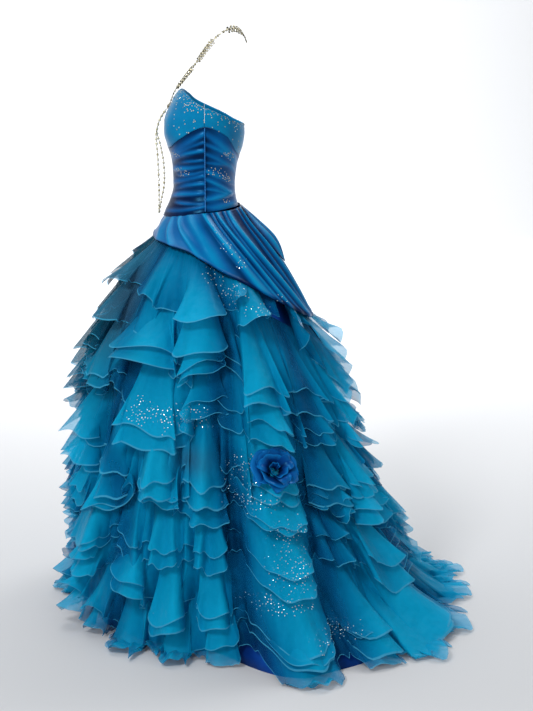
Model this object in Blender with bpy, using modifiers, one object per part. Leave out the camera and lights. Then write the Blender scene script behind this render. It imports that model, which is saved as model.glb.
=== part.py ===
"""Ball gown: a boned satin bodice on a jewelled halter, a swept satin overskirt and eight organza flounces on a
satin underskirt with a train.

Metres, +Z up, front towards -Y, the wearer's left towards +X. The origin is the middle of the waist, where the
gown is held. Angles run from centre front (0) round by the wearer's left (90) to centre back (180).
"""

import math

import bmesh
import bpy
import numpy as np

FLOOR = -1.120
SEAM_GAP = 0.0003
SATIN = 0.0015
ORGANZA = 0.0012
BODICE_WALL = 0.0022
RUCHING = 0.0045
SEWN_GAP = 0.0011
WAIST_DROP = 0.0028

# Bodice sections, bottom to top: height, half width, and depth to the front and to the back.
BODICE_SECTIONS = (
    # height, half width, front, back
    (-0.085, 0.144, 0.112, 0.096),
    (-0.060, 0.136, 0.101, 0.088),
    (-0.030, 0.123, 0.088, 0.079),
    (0.000, 0.116, 0.081, 0.076),
    (0.045, 0.119, 0.082, 0.080),
    (0.075, 0.126, 0.086, 0.088),
    (0.100, 0.133, 0.094, 0.097),
    (0.135, 0.140, 0.103, 0.102),
    (0.165, 0.143, 0.102, 0.100),
    (0.205, 0.141, 0.086, 0.096),
    (0.250, 0.136, 0.062, 0.090),
)
# Edges of the bodice pieces: angle, neckline, lower edge of the yoke, waist seam.
BODICE_EDGES = (
    # angle, neckline, yoke edge, waist seam
    (0, 0.222, 0.094, -0.076),
    (30, 0.243, 0.101, -0.073),
    (55, 0.232, 0.124, -0.067),
    (72, 0.216, 0.143, -0.061),
    (90, 0.202, 0.154, -0.056),
    (120, 0.180, 0.133, -0.052),
    (145, 0.163, 0.090, -0.050),
    (180, 0.154, 0.068, -0.050),
)
CUP_ANGLE, CUP_SPREAD = 36.0, 20.0
CUP_HEIGHT, CUP_DEPTH, CUP_RISE = 0.142, 0.009, 0.045

# Underskirt radius at six angles, from the waist seam down to the floor.
SKIRT_ANGLES = (0, 60, 90, 115, 150, 180)
SKIRT_RADII = (
    # height, front, 60, left side, 115, 150, back
    (-0.050, 0.096, 0.119, 0.131, 0.122, 0.098, 0.090),
    (-0.090, 0.103, 0.134, 0.153, 0.145, 0.117, 0.106),
    (-0.140, 0.119, 0.160, 0.184, 0.177, 0.150, 0.138),
    (-0.240, 0.178, 0.212, 0.235, 0.230, 0.206, 0.190),
    (-0.340, 0.226, 0.249, 0.268, 0.270, 0.252, 0.236),
    (-0.480, 0.268, 0.283, 0.300, 0.315, 0.306, 0.292),
    (-0.600, 0.288, 0.300, 0.318, 0.350, 0.346, 0.336),
    (-0.750, 0.301, 0.313, 0.334, 0.390, 0.394, 0.386),
    (-0.880, 0.310, 0.324, 0.348, 0.434, 0.444, 0.436),
    (-0.990, 0.316, 0.332, 0.360, 0.485, 0.494, 0.488),
    (-1.070, 0.318, 0.336, 0.370, 0.540, 0.548, 0.545),
    (-1.120, 0.320, 0.340, 0.380, 0.592, 0.598, 0.602),
)

# Flounces: seam height at the front, left side and back, length, waves, standoff and wave depth at the hem,
# how far the waves lean as they fall, how wide the broad petal beside the rosette is (1 is a plain wave), and
# the gap at the seam, which clears the flat facets where the skirt's section turns hollow.
FLOUNCES = (
    # front, left, back, length, waves, standoff, depth, lean, broad, gap
    (-0.106, -0.130, -0.300, 0.180, 10, 0.060, 0.026, 0.3, 1.0, 0.0013),
    (-0.205, -0.240, -0.390, 0.190, 11, 0.060, 0.026, -0.4, 1.0, 0.0011),
    (-0.320, -0.350, -0.480, 0.200, 12, 0.060, 0.026, 0.3, 1.4, 0.0007),
    (-0.440, -0.465, -0.575, 0.210, 13, 0.060, 0.026, -0.3, 2.0, 0.0007),
    (-0.560, -0.585, -0.670, 0.205, 14, 0.060, 0.026, 0.4, 2.2, 0.0012),
    (-0.675, -0.700, -0.765, 0.205, 15, 0.060, 0.026, -0.3, 2.2, 0.0010),
    (-0.790, -0.810, -0.860, 0.200, 16, 0.062, 0.026, 0.3, 2.2, 0.0023),
    (-0.905, -0.920, -0.955, 0.215, 18, 0.066, 0.028, -0.2, 2.0, 0.0034),
)
POINTS_PER_WAVE = 5
WAVE_SPREAD = 0.50
LOBE = 0.014
BROAD_ANGLE, BROAD_WIDTH = 112.0, 17.0

UNDERSKIRT = (
    # panel, its rows of points (0 at the waist, 1 to 8 at the flounces' seams, 10 at the floor), first and last angle
    ("front_upper", (0, 1, 2, 3, 4, 4.5), -90, 90),
    ("front_left", (4.5, 5, 6, 7, 8, 9, 10), 0, 90),
    ("front_right", (4.5, 5, 6, 7, 8, 9, 10), -90, 0),
    ("back", (0, 1, 2, 3, 4, 5, 6, 7, 8, 9, 10), 90, 270),
)

OVERSKIRT_HEM = (
    # angle, height of the hem, how far it stands off the underskirt
    (0, -0.130, 0.021),
    (40, -0.140, 0.026),
    (75, -0.162, 0.034),
    (105, -0.222, 0.038),
    (135, -0.290, 0.038),
    (160, -0.332, 0.038),
    (180, -0.345, 0.038),
)

# Halter, from the front jewel round the left of the neck to the nape; the right half mirrors it.
HALTER_HALF = (
    # across, depth, height, thickness
    (0.0040, -0.0876, 0.2082, 0.9),
    (0.0150, -0.0740, 0.2400, 1.0),
    (0.0270, -0.0500, 0.2720, 2.1),
    (0.0400, -0.0200, 0.3080, 1.2),
    (0.0500, 0.0020, 0.3380, 2.3),
    (0.0600, 0.0240, 0.3640, 1.2),
    (0.0640, 0.0500, 0.3850, 1.0),
    (0.0500, 0.0800, 0.3930, 2.0),
    (0.0260, 0.1000, 0.3780, 1.1),
)
HALTER_NAPE = (0.0, 0.1080, 0.3600, 1.0)
HALTER_RADIUS = 0.0026
JEWEL_RADIUS = 0.0080
JEWEL_DEPTH = 0.0050

# Bead strand: off the front jewel, over the left cup, down to the waist and up over the right cup.
STRAND_ROUTE = (
    (0.0022, -0.0946, 0.1957),
    (0.0090, -0.1080, 0.1780),
    (0.0180, -0.1190, 0.1520),
    (0.0240, -0.1230, 0.1250),
    (0.0250, -0.1200, 0.0800),
    (0.0240, -0.1180, 0.0200),
    (0.0220, -0.1180, -0.0300),
    (0.0160, -0.1185, -0.0580),
    (0.0020, -0.1190, -0.0690),
    (-0.0120, -0.1170, -0.0580),
    (-0.0190, -0.1120, -0.0300),
    (-0.0220, -0.1060, 0.0000),
    (-0.0240, -0.1060, 0.0500),
    (-0.0250, -0.1140, 0.1000),
    (-0.0230, -0.1220, 0.1350),
    (-0.0130, -0.1140, 0.1650),
    (-0.0022, -0.0946, 0.1957),
)
STRAND_RADIUS = 0.0012
STRAND_POINTS = 46

ROSETTE_ANGLE, ROSETTE_DROP = 111.0, 0.78
ROSETTE_RADIUS = 0.060
ROSETTE_TURNS = 3.4
ROSETTE_CLEARANCE = 0.0

COLOURS = {
    # slot: red, green, blue, roughness, metallic
    "satin": (0.010, 0.130, 0.420, 0.32, 0.0),
    "organza": (0.020, 0.330, 0.560, 0.55, 0.0),
    "jewels": (0.850, 0.830, 0.780, 0.15, 1.0),
    "zip": (0.020, 0.150, 0.400, 0.50, 0.0),
}


def clear_scene():
    for old in list(bpy.data.objects):
        bpy.data.objects.remove(old)


def material(slot):
    found = bpy.data.materials.get(slot)
    if found:
        return found
    red, green, blue, roughness, metallic = COLOURS[slot]
    made = bpy.data.materials.new(slot)
    made.use_nodes = True
    shader = made.node_tree.nodes["Principled BSDF"]
    shader.inputs["Base Color"].default_value = (red, green, blue, 1)
    shader.inputs["Roughness"].default_value = roughness
    shader.inputs["Metallic"].default_value = metallic
    return made


def smooth(stations, values, at):
    """A smooth curve through the stations that never overshoots. Values may have a column for each point."""
    x = np.asarray(stations, float)
    at = np.clip(np.atleast_1d(np.asarray(at, float)), x[0], x[-1])
    y = np.broadcast_to(np.asarray(values, float).reshape(len(x), -1), (len(x), at.size))
    step = np.diff(x)
    rise = np.diff(y, axis=0) / step[:, None]
    slope = np.concatenate([rise[:1], np.zeros((len(x) - 2, at.size)), rise[-1:]])
    product = rise[:-1] * rise[1:]
    total = np.where(product > 0, rise[:-1] + rise[1:], 1.0)
    slope[1:-1] = np.where(product > 0, 2 * product / total, 0.0)
    k = np.clip(np.searchsorted(x, at) - 1, 0, len(step) - 1)
    here = np.arange(at.size)
    t = (at - x[k]) / step[k]
    start = y[k, here] * (1 + 2 * t) * (1 - t) ** 2 + slope[k, here] * step[k] * t * (1 - t) ** 2
    end = y[k + 1, here] * t**2 * (3 - 2 * t) + slope[k + 1, here] * step[k] * t**2 * (t - 1)
    return start + end


def folded(angle):
    """The same angle on the left half, because the gown's cut is the same on both sides."""
    return np.abs((np.asarray(angle, float) + 180) % 360 - 180)


def bodice_edge(angle, column):
    table = np.array(BODICE_EDGES, float)
    return smooth(table[:, 0], table[:, column], folded(angle))


def bodice_surface(angle, height, out=0.0):
    """Points on the outside of the bodice's plain wall, moved out along the section's normal."""
    table = np.array(BODICE_SECTIONS, float)
    half, front, back = (smooth(table[:, 0], table[:, c], height) for c in (1, 2, 3))
    turn = np.radians(angle)
    depth = np.where(np.cos(turn) > 0, front, back)
    across = np.sin(turn) / half
    along = -np.cos(turn) / depth
    size = np.hypot(across, along)
    spread = np.exp(-(((folded(angle) - CUP_ANGLE) / CUP_SPREAD) ** 2))
    cup = CUP_DEPTH * spread * np.exp(-(((height - CUP_HEIGHT) / CUP_RISE) ** 2))
    off = out + cup
    x = half * np.sin(turn) + off * across / size
    y = -depth * np.cos(turn) + off * along / size
    return np.stack([x, y, np.broadcast_to(height, x.shape)], axis=-1)


def skirt_radius(angle, height):
    """Radius of the underskirt's outer face."""
    table = np.array(SKIRT_RADII, float)
    angle, height = np.broadcast_arrays(np.asarray(angle, float), np.asarray(height, float))
    columns = [smooth(table[:, 0][::-1], table[:, c][::-1], height.ravel()) for c in range(1, 7)]
    stations = (-60, *SKIRT_ANGLES, 210)
    values = np.array([columns[1], *columns, columns[4]])
    return smooth(stations, values, folded(angle.ravel())).reshape(angle.shape)


def around(angle, radius, height):
    turn = np.radians(angle)
    return np.stack([radius * np.sin(turn), -radius * np.cos(turn), height], axis=-1)


def flounce_seam(row, angle):
    """Height of the line on the underskirt that a flounce is sewn along."""
    front, left, back = row[:3]
    return smooth((-90, 0, 90, 180, 270), (left, front, left, back, left), folded(angle))


def flounce_surface(row, u, v):
    """One flounce: gathered flat against the underskirt at its seam, and waved at its hem."""
    length, waves, standoff, depth, lean, broad, gap = row[3:]
    angle = u * 360
    seam = flounce_seam(row, angle)
    beside = (angle - BROAD_ANGLE + 180) % 360 - 180
    slow = waves * (1 - 1 / broad) * beside * np.exp(-((beside / BROAD_WIDTH) ** 2))
    sway = 0.45 * (1 - np.cos(np.radians(2 * beside))) + 0.30 * np.sin(np.radians(3 * beside))
    phase = np.radians(waves * beside - slow) + sway + lean * (v - 1)
    strong = 1 + 0.20 * np.sin(np.radians(beside + 57 * waves)) + 0.14 * np.sin(np.radians(4 * beside))
    height = seam - length * v * 0.97 - LOBE * np.cos(phase) * v**2
    below = np.maximum(FLOOR + 0.002 - height, 0)
    height = np.maximum(height, FLOOR + 0.002)
    wave = depth * strong * v**2 * np.cos(phase)
    spread = WAVE_SPREAD * v**2 / waves * np.degrees(np.sin(phase))
    out = gap + standoff * v**1.7 + wave + below
    return around(angle + spread, skirt_radius(angle, height) + out, height)


def cloth(name, slot, columns, rows, place, wall, closed=False, relief=None, outward=True):
    """A lofted sheet with its wall: a grid shaped by place(u, v), u round the body and v downwards."""
    mesh = bpy.data.meshes.new(name)
    shape = bmesh.new()
    bmesh.ops.create_grid(shape, x_segments=columns, y_segments=rows, size=1)
    shape.verts.ensure_lookup_table()
    flat = np.array([vertex.co[:2] for vertex in shape.verts])
    u, v = (flat[:, 0] + 1) / 2, (flat[:, 1] + 1) / 2
    group = shape.verts.layers.deform.verify() if relief else None
    heights = wall + relief(u, v) if relief else None
    for index, point in enumerate(place(u, v)):
        shape.verts[index].co = point
        if relief:
            shape.verts[index][group][0] = float(heights[index] / heights.max())
    if closed:
        bmesh.ops.remove_doubles(shape, verts=shape.verts, dist=0.00001)
    bmesh.ops.reverse_faces(shape, faces=shape.faces)
    shape.to_mesh(mesh)
    shape.free()
    made = bpy.data.objects.new(name, mesh)
    bpy.data.collections["ball_gown"].objects.link(made)
    mesh.materials.append(material(slot))
    mesh.shade_smooth()
    solid = made.modifiers.new("wall", "SOLIDIFY")
    solid.offset = 1 if outward else -1
    solid.thickness = float(heights.max()) if relief else wall
    if relief:
        made.vertex_groups.new(name="relief")
        solid.vertex_group = "relief"
    return made


def ruching(u, v):
    """Six gathers across the midriff, deepest at the side seam and curving as they cross."""
    curve = 0.10 * np.sin(math.pi * u)
    fold = np.cos(2 * math.pi * (6 * (v + curve)))
    fade = np.clip(np.minimum(v, 1 - v) * 9, 0, 1)
    return RUCHING * 0.5 * (1 + fold) * fade * (0.55 + 0.45 * np.abs(np.cos(math.pi * u)))


def bodice_piece(name, start, end, upper, lower, columns, rows, relief=None):
    """A bodice panel between two angles and two of the edges in BODICE_EDGES."""

    def place(u, v):
        angle = start + (end - start) * u
        top = bodice_edge(angle, upper) - 3 * SEAM_GAP * (upper > 1)
        bottom = bodice_edge(angle, lower) + SEAM_GAP
        return bodice_surface(angle, top + (bottom - top) * v, -BODICE_WALL)

    return cloth(name, "satin", columns, rows, place, BODICE_WALL, relief=relief)


def bodice():
    """Front and two backs, each with a smooth yoke over a gathered midriff."""
    slit = 0.25
    for name, start, end, columns in (
        ("front", -90 + slit, 90 - slit, 14),
        ("back_left", 90 + slit, 180 - slit, 7),
        ("back_right", 180 + slit, 270 - slit, 7),
    ):
        bodice_piece("yoke_" + name, start, end, 1, 2, columns, 4)
        bodice_piece("midriff_" + name, start, end, 2, 3, columns, 18, ruching)


def side_piping(name, angle):
    """Corded piping down the side seam, from the yoke's edge to the waist."""
    top, bottom = float(bodice_edge(angle, 2)[0]), float(bodice_edge(angle, 3)[0])
    radius, clear = 0.0013, 0.0004
    heights = np.linspace(top - 0.002, bottom + 0.003, 9)
    line = bodice_surface(np.full(9, float(angle)), heights, RUCHING + clear + radius)
    return tube(name, "satin", [tuple(p) for p in line], [1.0] * 9, radius)


def tube(name, slot, points, thickness, radius, resolution=1):
    """A round cord along a list of points, made a closed mesh."""
    line = bpy.data.curves.new(name, "CURVE")
    line.dimensions = "3D"
    line.bevel_depth = radius
    line.bevel_resolution = resolution
    line.use_fill_caps = True
    run = line.splines.new("POLY")
    run.points.add(len(points) - 1)
    for point, place, thick in zip(run.points, points, thickness):
        point.co = (*place, 1)
        point.radius = thick
    made = bpy.data.objects.new(name, line)
    bpy.data.collections["ball_gown"].objects.link(made)
    line.materials.append(material(slot))
    return made


def through(points, count):
    """Evenly spaced points on a smooth curve through the route's own points."""
    route = np.array(points, float)
    reach = np.concatenate([[0], np.cumsum(np.linalg.norm(np.diff(route[:, :3], axis=0), axis=1))])
    at = np.linspace(0, reach[-1], count)
    ends = np.concatenate([[2 * route[0] - route[1]], route, [2 * route[-1] - route[-2]]])
    k = np.clip(np.searchsorted(reach, at) - 1, 0, len(route) - 2)
    t = ((at - reach[k]) / (reach[k + 1] - reach[k]))[:, None]
    a, b, c, d = ends[k], ends[k + 1], ends[k + 2], ends[k + 3]
    return b + 0.5 * t * (c - a + t * (2 * a - 5 * b + 4 * c - d + t * (3 * (b - c) + d - a)))


def halter():
    """One rhinestone chain from the front jewel round the neck and back, swelling at its clusters."""
    left = list(HALTER_HALF)
    right = [(-x, y, z, thick) for x, y, z, thick in reversed(left)]
    line = through([*left, HALTER_NAPE, *right], 49)
    tube("halter", "jewels", [tuple(p[:3]) for p in line], [float(p[3]) for p in line], HALTER_RADIUS)


def front_jewel():
    """The cluster sewn to the neckline's middle, which the halter and the bead strand leave."""
    height = 0.200
    seat = bodice_surface(np.array([0.0]), np.array([height]))[0]
    drop = bodice_surface(np.array([0.0]), np.array([height - 0.02]))[0]
    slope = math.atan2(seat[1] - drop[1], seat[2] - drop[2])
    mesh = bpy.data.meshes.new("front_jewel")
    shape = bmesh.new()
    bmesh.ops.create_cone(
        shape,
        cap_ends=True,
        segments=12,
        radius1=JEWEL_RADIUS,
        radius2=JEWEL_RADIUS * 0.55,
        depth=JEWEL_DEPTH,
    )
    shape.to_mesh(mesh)
    shape.free()
    made = bpy.data.objects.new("front_jewel", mesh)
    bpy.data.collections["ball_gown"].objects.link(made)
    mesh.materials.append(material("jewels"))
    made.rotation_euler = (math.pi / 2 - slope, 0, 0)
    out = JEWEL_DEPTH / 2 + 0.0006
    made.location = (0, seat[1] - out * math.cos(slope), height + out * math.sin(slope))


def strand():
    """The bead strand's thread, hung in one loop from the front jewel."""
    line = through(STRAND_ROUTE, STRAND_POINTS)
    tube("bead_strand", "jewels", [tuple(p) for p in line], [1.0] * len(line), STRAND_RADIUS, 0)


def back_zip():
    """The concealed zip's tape, behind the centre back seam."""
    half = 3.2

    def place(u, v):
        angle = 180 - half + 2 * half * u
        top, bottom = bodice_edge(angle, 1) - 0.004, bodice_edge(angle, 3) + 0.004
        return bodice_surface(angle, top + (bottom - top) * v, -BODICE_WALL - 0.0012 - 0.0008)

    cloth("back_zip", "zip", 2, 9, place, 0.0008)


def underskirt():
    """Satin foundation skirt: a back panel, an upper front panel and two lower front gores.

    Each has a row of points along the seam of every flounce that it carries.
    """
    side_slit = 0.12
    for part, levels, start, end in UNDERSKIRT:

        def place(u, v, part=part, levels=levels, start=start, end=end):
            angle = start + (end - start) * u
            lines = [bodice_edge(angle, 3) - WAIST_DROP, *(flounce_seam(row, angle) for row in FLOUNCES)]
            lines += [(lines[-1] + FLOOR) / 2, np.full(angle.shape, FLOOR)]
            lines = np.array(lines)
            level = np.interp(v, np.linspace(0, 1, len(levels)), levels)
            line = np.clip((level + 1e-6).astype(int), 0, len(lines) - 2)
            share, here = level - line, np.arange(angle.size)
            height = lines[line, here] * (1 - share) + lines[line + 1, here] * share
            seam = np.abs(level - 4.5) < 1e-3
            if part != "back":
                height = height + seam * (SEAM_GAP / 2 if part == "front_upper" else -SEAM_GAP / 2)
            radius = skirt_radius(angle, height) - SATIN
            centre_slit = np.degrees(SEAM_GAP / 2 / radius)
            first = centre_slit if start == 0 else side_slit
            last = centre_slit if end == 0 else side_slit
            angle = angle + first * (1 - u) - last * u
            return around(angle, radius, height)

        cloth("underskirt_" + part, "satin", 9 if end - start < 100 else 18, len(levels) - 1, place, SATIN)


def overskirt_fold(side, v):
    """Folds that start together at the side seam's foot and fan out to the back of the hem."""
    height = 0.0
    for start, end, strength in ((92, 104, 0.8), (97, 124, 1.0), (104, 141, 1.0), (116, 157, 1.0), (140, 172, 0.8)):
        middle = start + (end - start) * v
        width = 3.0 + 4.5 * v
        height = height + strength * np.exp(-(((side - middle) / width) ** 2))
    return height


def overskirt_surface(angle, v):
    side = folded(angle)
    table = np.array(OVERSKIRT_HEM, float)
    top = bodice_edge(angle, 3) - WAIST_DROP
    hem = smooth(table[:, 0], table[:, 1], side)
    stand = smooth(table[:, 0], table[:, 2], side)
    height = top + (hem - top) * v
    fold = 0.009 * overskirt_fold(side, v) * np.sin(math.pi * np.clip(v, 0, 1)) ** 0.7
    lift = SEWN_GAP + stand * v**0.9 + fold
    return around(angle, skirt_radius(angle, height) + lift, height)


def overskirt():
    """Swept satin overskirt in a left and a right panel, short in front and long behind."""
    slit = 0.2
    for name, start, end in (("left", slit, 180 - slit), ("right", 180 + slit, 360 - slit)):

        def place(u, v, start=start, end=end):
            return overskirt_surface(start + (end - start) * u, v)

        cloth("overskirt_" + name, "satin", 26, 6, place, SATIN)


def bustle():
    """A pleated satin leaf over the centre back, caught at the waist."""
    half = 24.0

    def place(u, v):
        narrow = 0.30 + 0.70 * np.sin(math.pi * (0.15 + 0.68 * v))
        angle = 184 + half * (2 * u - 1) * narrow
        top = -0.053
        height = top - 0.140 * v
        crown = np.sin(math.pi * v) * (1 - (2 * u - 1) ** 2)
        pleat = 0.004 * np.cos(3 * math.pi * (2 * u - 1)) * np.sin(math.pi * v)
        lift = SATIN + SEWN_GAP + 0.0007 + 0.0350 * v**0.8 + 0.018 * crown + pleat
        return around(angle, skirt_radius(angle, height) + lift, height)

    cloth("bustle", "satin", 12, 7, place, SATIN)


def flounces():
    """Eight gathered rings, each sewn to the underskirt under the hem of the one above."""
    for number, row in enumerate(FLOUNCES, 1):
        columns, rows = row[4] * POINTS_PER_WAVE, 3 if number == 1 else 2

        def place(u, v, row=row):
            return flounce_surface(row, u, v)

        cloth(f"flounce_{number}", "organza", columns, rows, place, ORGANZA, closed=True)


def rosette():
    """A satin rose rolled from one strip: upright at the heart and laid open at the rim, on a round base."""
    angle = np.full(2, ROSETTE_ANGLE / 360)
    upper, lower = flounce_surface(FLOUNCES[3], angle, np.array([0.5, 1.0]))
    turn = math.radians(ROSETTE_ANGLE)
    reach = np.hypot(*upper[:2]), np.hypot(*lower[:2])
    tilt = math.atan2(reach[1] - reach[0], upper[2] - lower[2])
    down = 2 * ROSETTE_DROP - 1
    out = reach[0] + (reach[1] - reach[0]) * down + ROSETTE_CLEARANCE * math.cos(tilt)
    height = upper[2] + (lower[2] - upper[2]) * down + ROSETTE_CLEARANCE * math.sin(tilt)
    columns, rows = 60, 2

    def place(u, v):
        spiral = 2 * math.pi * ROSETTE_TURNS * u
        rim = 0.010 + (ROSETTE_RADIUS - 0.016) * u**0.9
        open_out = np.radians(8 + 62 * u)
        width = 0.020 + 0.012 * u
        wave = 0.0022 * u * np.sin(5 * spiral)
        run = rim + (v * width) * np.sin(open_out)
        rise = 0.004 + v * width * np.cos(open_out) + wave * v
        return np.stack([run * np.cos(spiral), run * np.sin(spiral), rise], axis=-1)

    made = cloth("rosette", "satin", columns, rows, place, 0.0012)
    base = bpy.data.meshes.new("rosette_base")
    shape = bmesh.new()
    bmesh.ops.create_cone(
        shape, cap_ends=True, segments=20, radius1=ROSETTE_RADIUS * 0.86, radius2=ROSETTE_RADIUS * 0.86, depth=0.004
    )
    bmesh.ops.translate(shape, verts=shape.verts, vec=(0, 0, 0.0035))
    shape.to_mesh(base)
    shape.free()
    disc = bpy.data.objects.new("rosette_base", base)
    bpy.data.collections["cutters"].objects.link(disc)
    disc.hide_render = True
    disc.display_type = "WIRE"
    join = made.modifiers.new("join", "BOOLEAN")
    join.operation = "UNION"
    join.object = disc
    for piece in (made, disc):
        piece.rotation_euler = (math.pi / 2 - tilt, 0, turn)
        piece.location = (out * math.sin(turn), -out * math.cos(turn), height)


def main():
    clear_scene()
    for name in ("ball_gown", "cutters"):
        collection = bpy.data.collections.new(name)
        bpy.context.scene.collection.children.link(collection)
    bodice()
    side_piping("piping_left", 90)
    side_piping("piping_right", 270)
    back_zip()
    halter()
    front_jewel()
    strand()
    underskirt()
    overskirt()
    bustle()
    flounces()
    rosette()


main()
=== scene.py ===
"""Ball gown in cyan organza and blue satin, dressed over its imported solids.

Metres, +Z up, front towards -Y and the wearer's left towards +X.
The waist is at the origin, 1.12 m above the floor.
Angles run from centre front (0) round by the wearer's left (90) to centre back (180).
"""

import math
from collections import namedtuple
from functools import partial

import bpy
import numpy as np
from mathutils import Euler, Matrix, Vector


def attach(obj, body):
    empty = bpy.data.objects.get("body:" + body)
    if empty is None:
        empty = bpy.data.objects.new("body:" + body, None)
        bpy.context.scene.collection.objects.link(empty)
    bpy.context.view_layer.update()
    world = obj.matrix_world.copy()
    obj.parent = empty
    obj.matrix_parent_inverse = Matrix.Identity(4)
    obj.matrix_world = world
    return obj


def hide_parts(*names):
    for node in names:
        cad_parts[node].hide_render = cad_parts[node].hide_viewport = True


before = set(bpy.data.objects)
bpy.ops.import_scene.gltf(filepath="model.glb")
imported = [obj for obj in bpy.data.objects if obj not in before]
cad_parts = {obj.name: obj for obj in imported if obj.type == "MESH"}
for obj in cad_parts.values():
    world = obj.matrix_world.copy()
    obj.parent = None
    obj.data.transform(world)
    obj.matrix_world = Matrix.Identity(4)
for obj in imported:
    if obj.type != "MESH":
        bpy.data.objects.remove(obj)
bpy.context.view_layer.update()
FLOOR = -1.120

# Yoke: the smooth upper band of the bodice, a front and two backs in duchess satin over boned interlining.
# The panels are cut to the bust's curve, edged by a narrow turned seam, and stand up unaided at the neckline.
BODICE_SECTIONS = (
    # height, half width, front, back
    (-0.085, 0.144, 0.112, 0.096),
    (-0.060, 0.136, 0.101, 0.088),
    (-0.030, 0.123, 0.088, 0.079),
    (0.000, 0.116, 0.081, 0.076),
    (0.045, 0.119, 0.082, 0.080),
    (0.075, 0.126, 0.086, 0.088),
    (0.100, 0.133, 0.094, 0.097),
    (0.135, 0.140, 0.103, 0.102),
    (0.165, 0.143, 0.102, 0.100),
    (0.205, 0.141, 0.086, 0.096),
    (0.250, 0.136, 0.062, 0.090),
)
BODICE_EDGES = (
    # angle, neckline, yoke edge, waist seam
    (0, 0.222, 0.094, -0.076),
    (30, 0.243, 0.101, -0.073),
    (55, 0.232, 0.124, -0.067),
    (72, 0.216, 0.143, -0.061),
    (90, 0.202, 0.154, -0.056),
    (120, 0.180, 0.133, -0.052),
    (145, 0.163, 0.090, -0.050),
    (180, 0.154, 0.068, -0.050),
)
CUP_ANGLE, CUP_SPREAD, CUP_HEIGHT, CUP_DEPTH, CUP_RISE = 36.0, 20.0, 0.142, 0.009, 0.045
BODICE_WALL = 0.0022
# Half the gap between the yoke and the midriff at the seam that joins them.
SEAM = 0.0004
SATIN_WALL, UNDERSKIRT_WALL, PETAL_WALL = 0.0009, 0.0008, 0.0006
BODICE_PANELS = (
    # name, first angle, last angle, columns
    ("front", -89.8, 89.8, 110),
    ("back_left", 90.2, 179.8, 56),
    ("back_right", 180.2, 269.8, 56),
)


def smooth(stations, values, at):
    """A smooth curve through the stations that never overshoots. Values may have a column for each point."""
    x = np.asarray(stations, float)
    at = np.clip(np.atleast_1d(np.asarray(at, float)), x[0], x[-1])
    y = np.broadcast_to(np.asarray(values, float).reshape(len(x), -1), (len(x), at.size))
    step = np.diff(x)
    rise = np.diff(y, axis=0) / step[:, None]
    slope = np.concatenate([rise[:1], np.zeros((len(x) - 2, at.size)), rise[-1:]])
    product = rise[:-1] * rise[1:]
    total = np.where(product > 0, rise[:-1] + rise[1:], 1.0)
    slope[1:-1] = np.where(product > 0, 2 * product / total, 0.0)
    k = np.clip(np.searchsorted(x, at) - 1, 0, len(step) - 1)
    here = np.arange(at.size)
    t = (at - x[k]) / step[k]
    start = y[k, here] * (1 + 2 * t) * (1 - t) ** 2 + slope[k, here] * step[k] * t * (1 - t) ** 2
    end = y[k + 1, here] * t**2 * (3 - 2 * t) + slope[k + 1, here] * step[k] * t**2 * (t - 1)
    return start + end


def hump(value, width):
    """A soft hump, 1 at value 0 and almost 0 at twice the width."""
    return np.exp(-((value / width) ** 2))


def read_off(table, column, at):
    """A column of a table at values of its first column."""
    table = np.array(table, float)
    return smooth(table[:, 0], table[:, column], at)


def apart(angle, middle):
    """How far an angle lies from another in degrees, the short way round."""
    return (angle - middle + 180) % 360 - 180


def folded(angle):
    """The same angle on the left half, because the cut is the same on both sides."""
    return np.abs(apart(np.asarray(angle, float), 0))


def between(first, last, part):
    return first + (last - first) * part


def bodice_edge(angle, column):
    """Height of one of the bodice's edges at an angle."""
    return read_off(BODICE_EDGES, column, folded(angle))


def bodice_surface(angle, height, out=0.0):
    """Points on the bodice's face, moved out along its section's normal."""
    half, front, back = (read_off(BODICE_SECTIONS, column, height) for column in (1, 2, 3))
    turn = np.radians(angle)
    depth = np.where(np.cos(turn) > 0, front, back)
    across, along = np.sin(turn) / half, -np.cos(turn) / depth
    size = np.hypot(across, along)
    spread = hump(folded(angle) - CUP_ANGLE, CUP_SPREAD)
    off = out + CUP_DEPTH * spread * hump(height - CUP_HEIGHT, CUP_RISE)
    x = half * np.sin(turn) + off * across / size
    y = -depth * np.cos(turn) + off * along / size
    return np.stack([x, y, np.broadcast_to(height, x.shape)], axis=-1)


def drifts(table, angle, height, slant=0.0):
    """How thickly beads lie there. A drift has its angle, height, half angle and half height in the table."""
    total = 0.0
    for middle, level, wide, tall in table:
        away = apart(angle, middle)
        total = total + np.exp(-((away / wide) ** 2) - ((height + slant * away - level) / tall) ** 2)
    return total


def uneven(seed, *along):
    """Soft unevenness from -1 to 1. Each (value, rate) adds a whole number of waves along one direction."""
    made = 0.0
    for index, (value, rate) in enumerate(along):
        for octave in (1, 2, 3):
            turn = 1.7 * seed + 2.3 * index + 5.1 * octave
            wave = 2 * math.pi * rate * octave * value + turn + 0.8 * math.sin(3 * turn)
            made = made + np.sin(wave) / octave
    return made / (1.83 * len(along))


def linked(name, data):
    """An object with this data, put in the scene."""
    made = bpy.data.objects.new(name, data)
    bpy.context.scene.collection.objects.link(made)
    return made


def shaped(name, points, faces=()):
    """An object with these points and faces."""
    mesh = bpy.data.meshes.new(name)
    mesh.from_pydata(points, [], faces)
    return linked(name, mesh)


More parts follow.
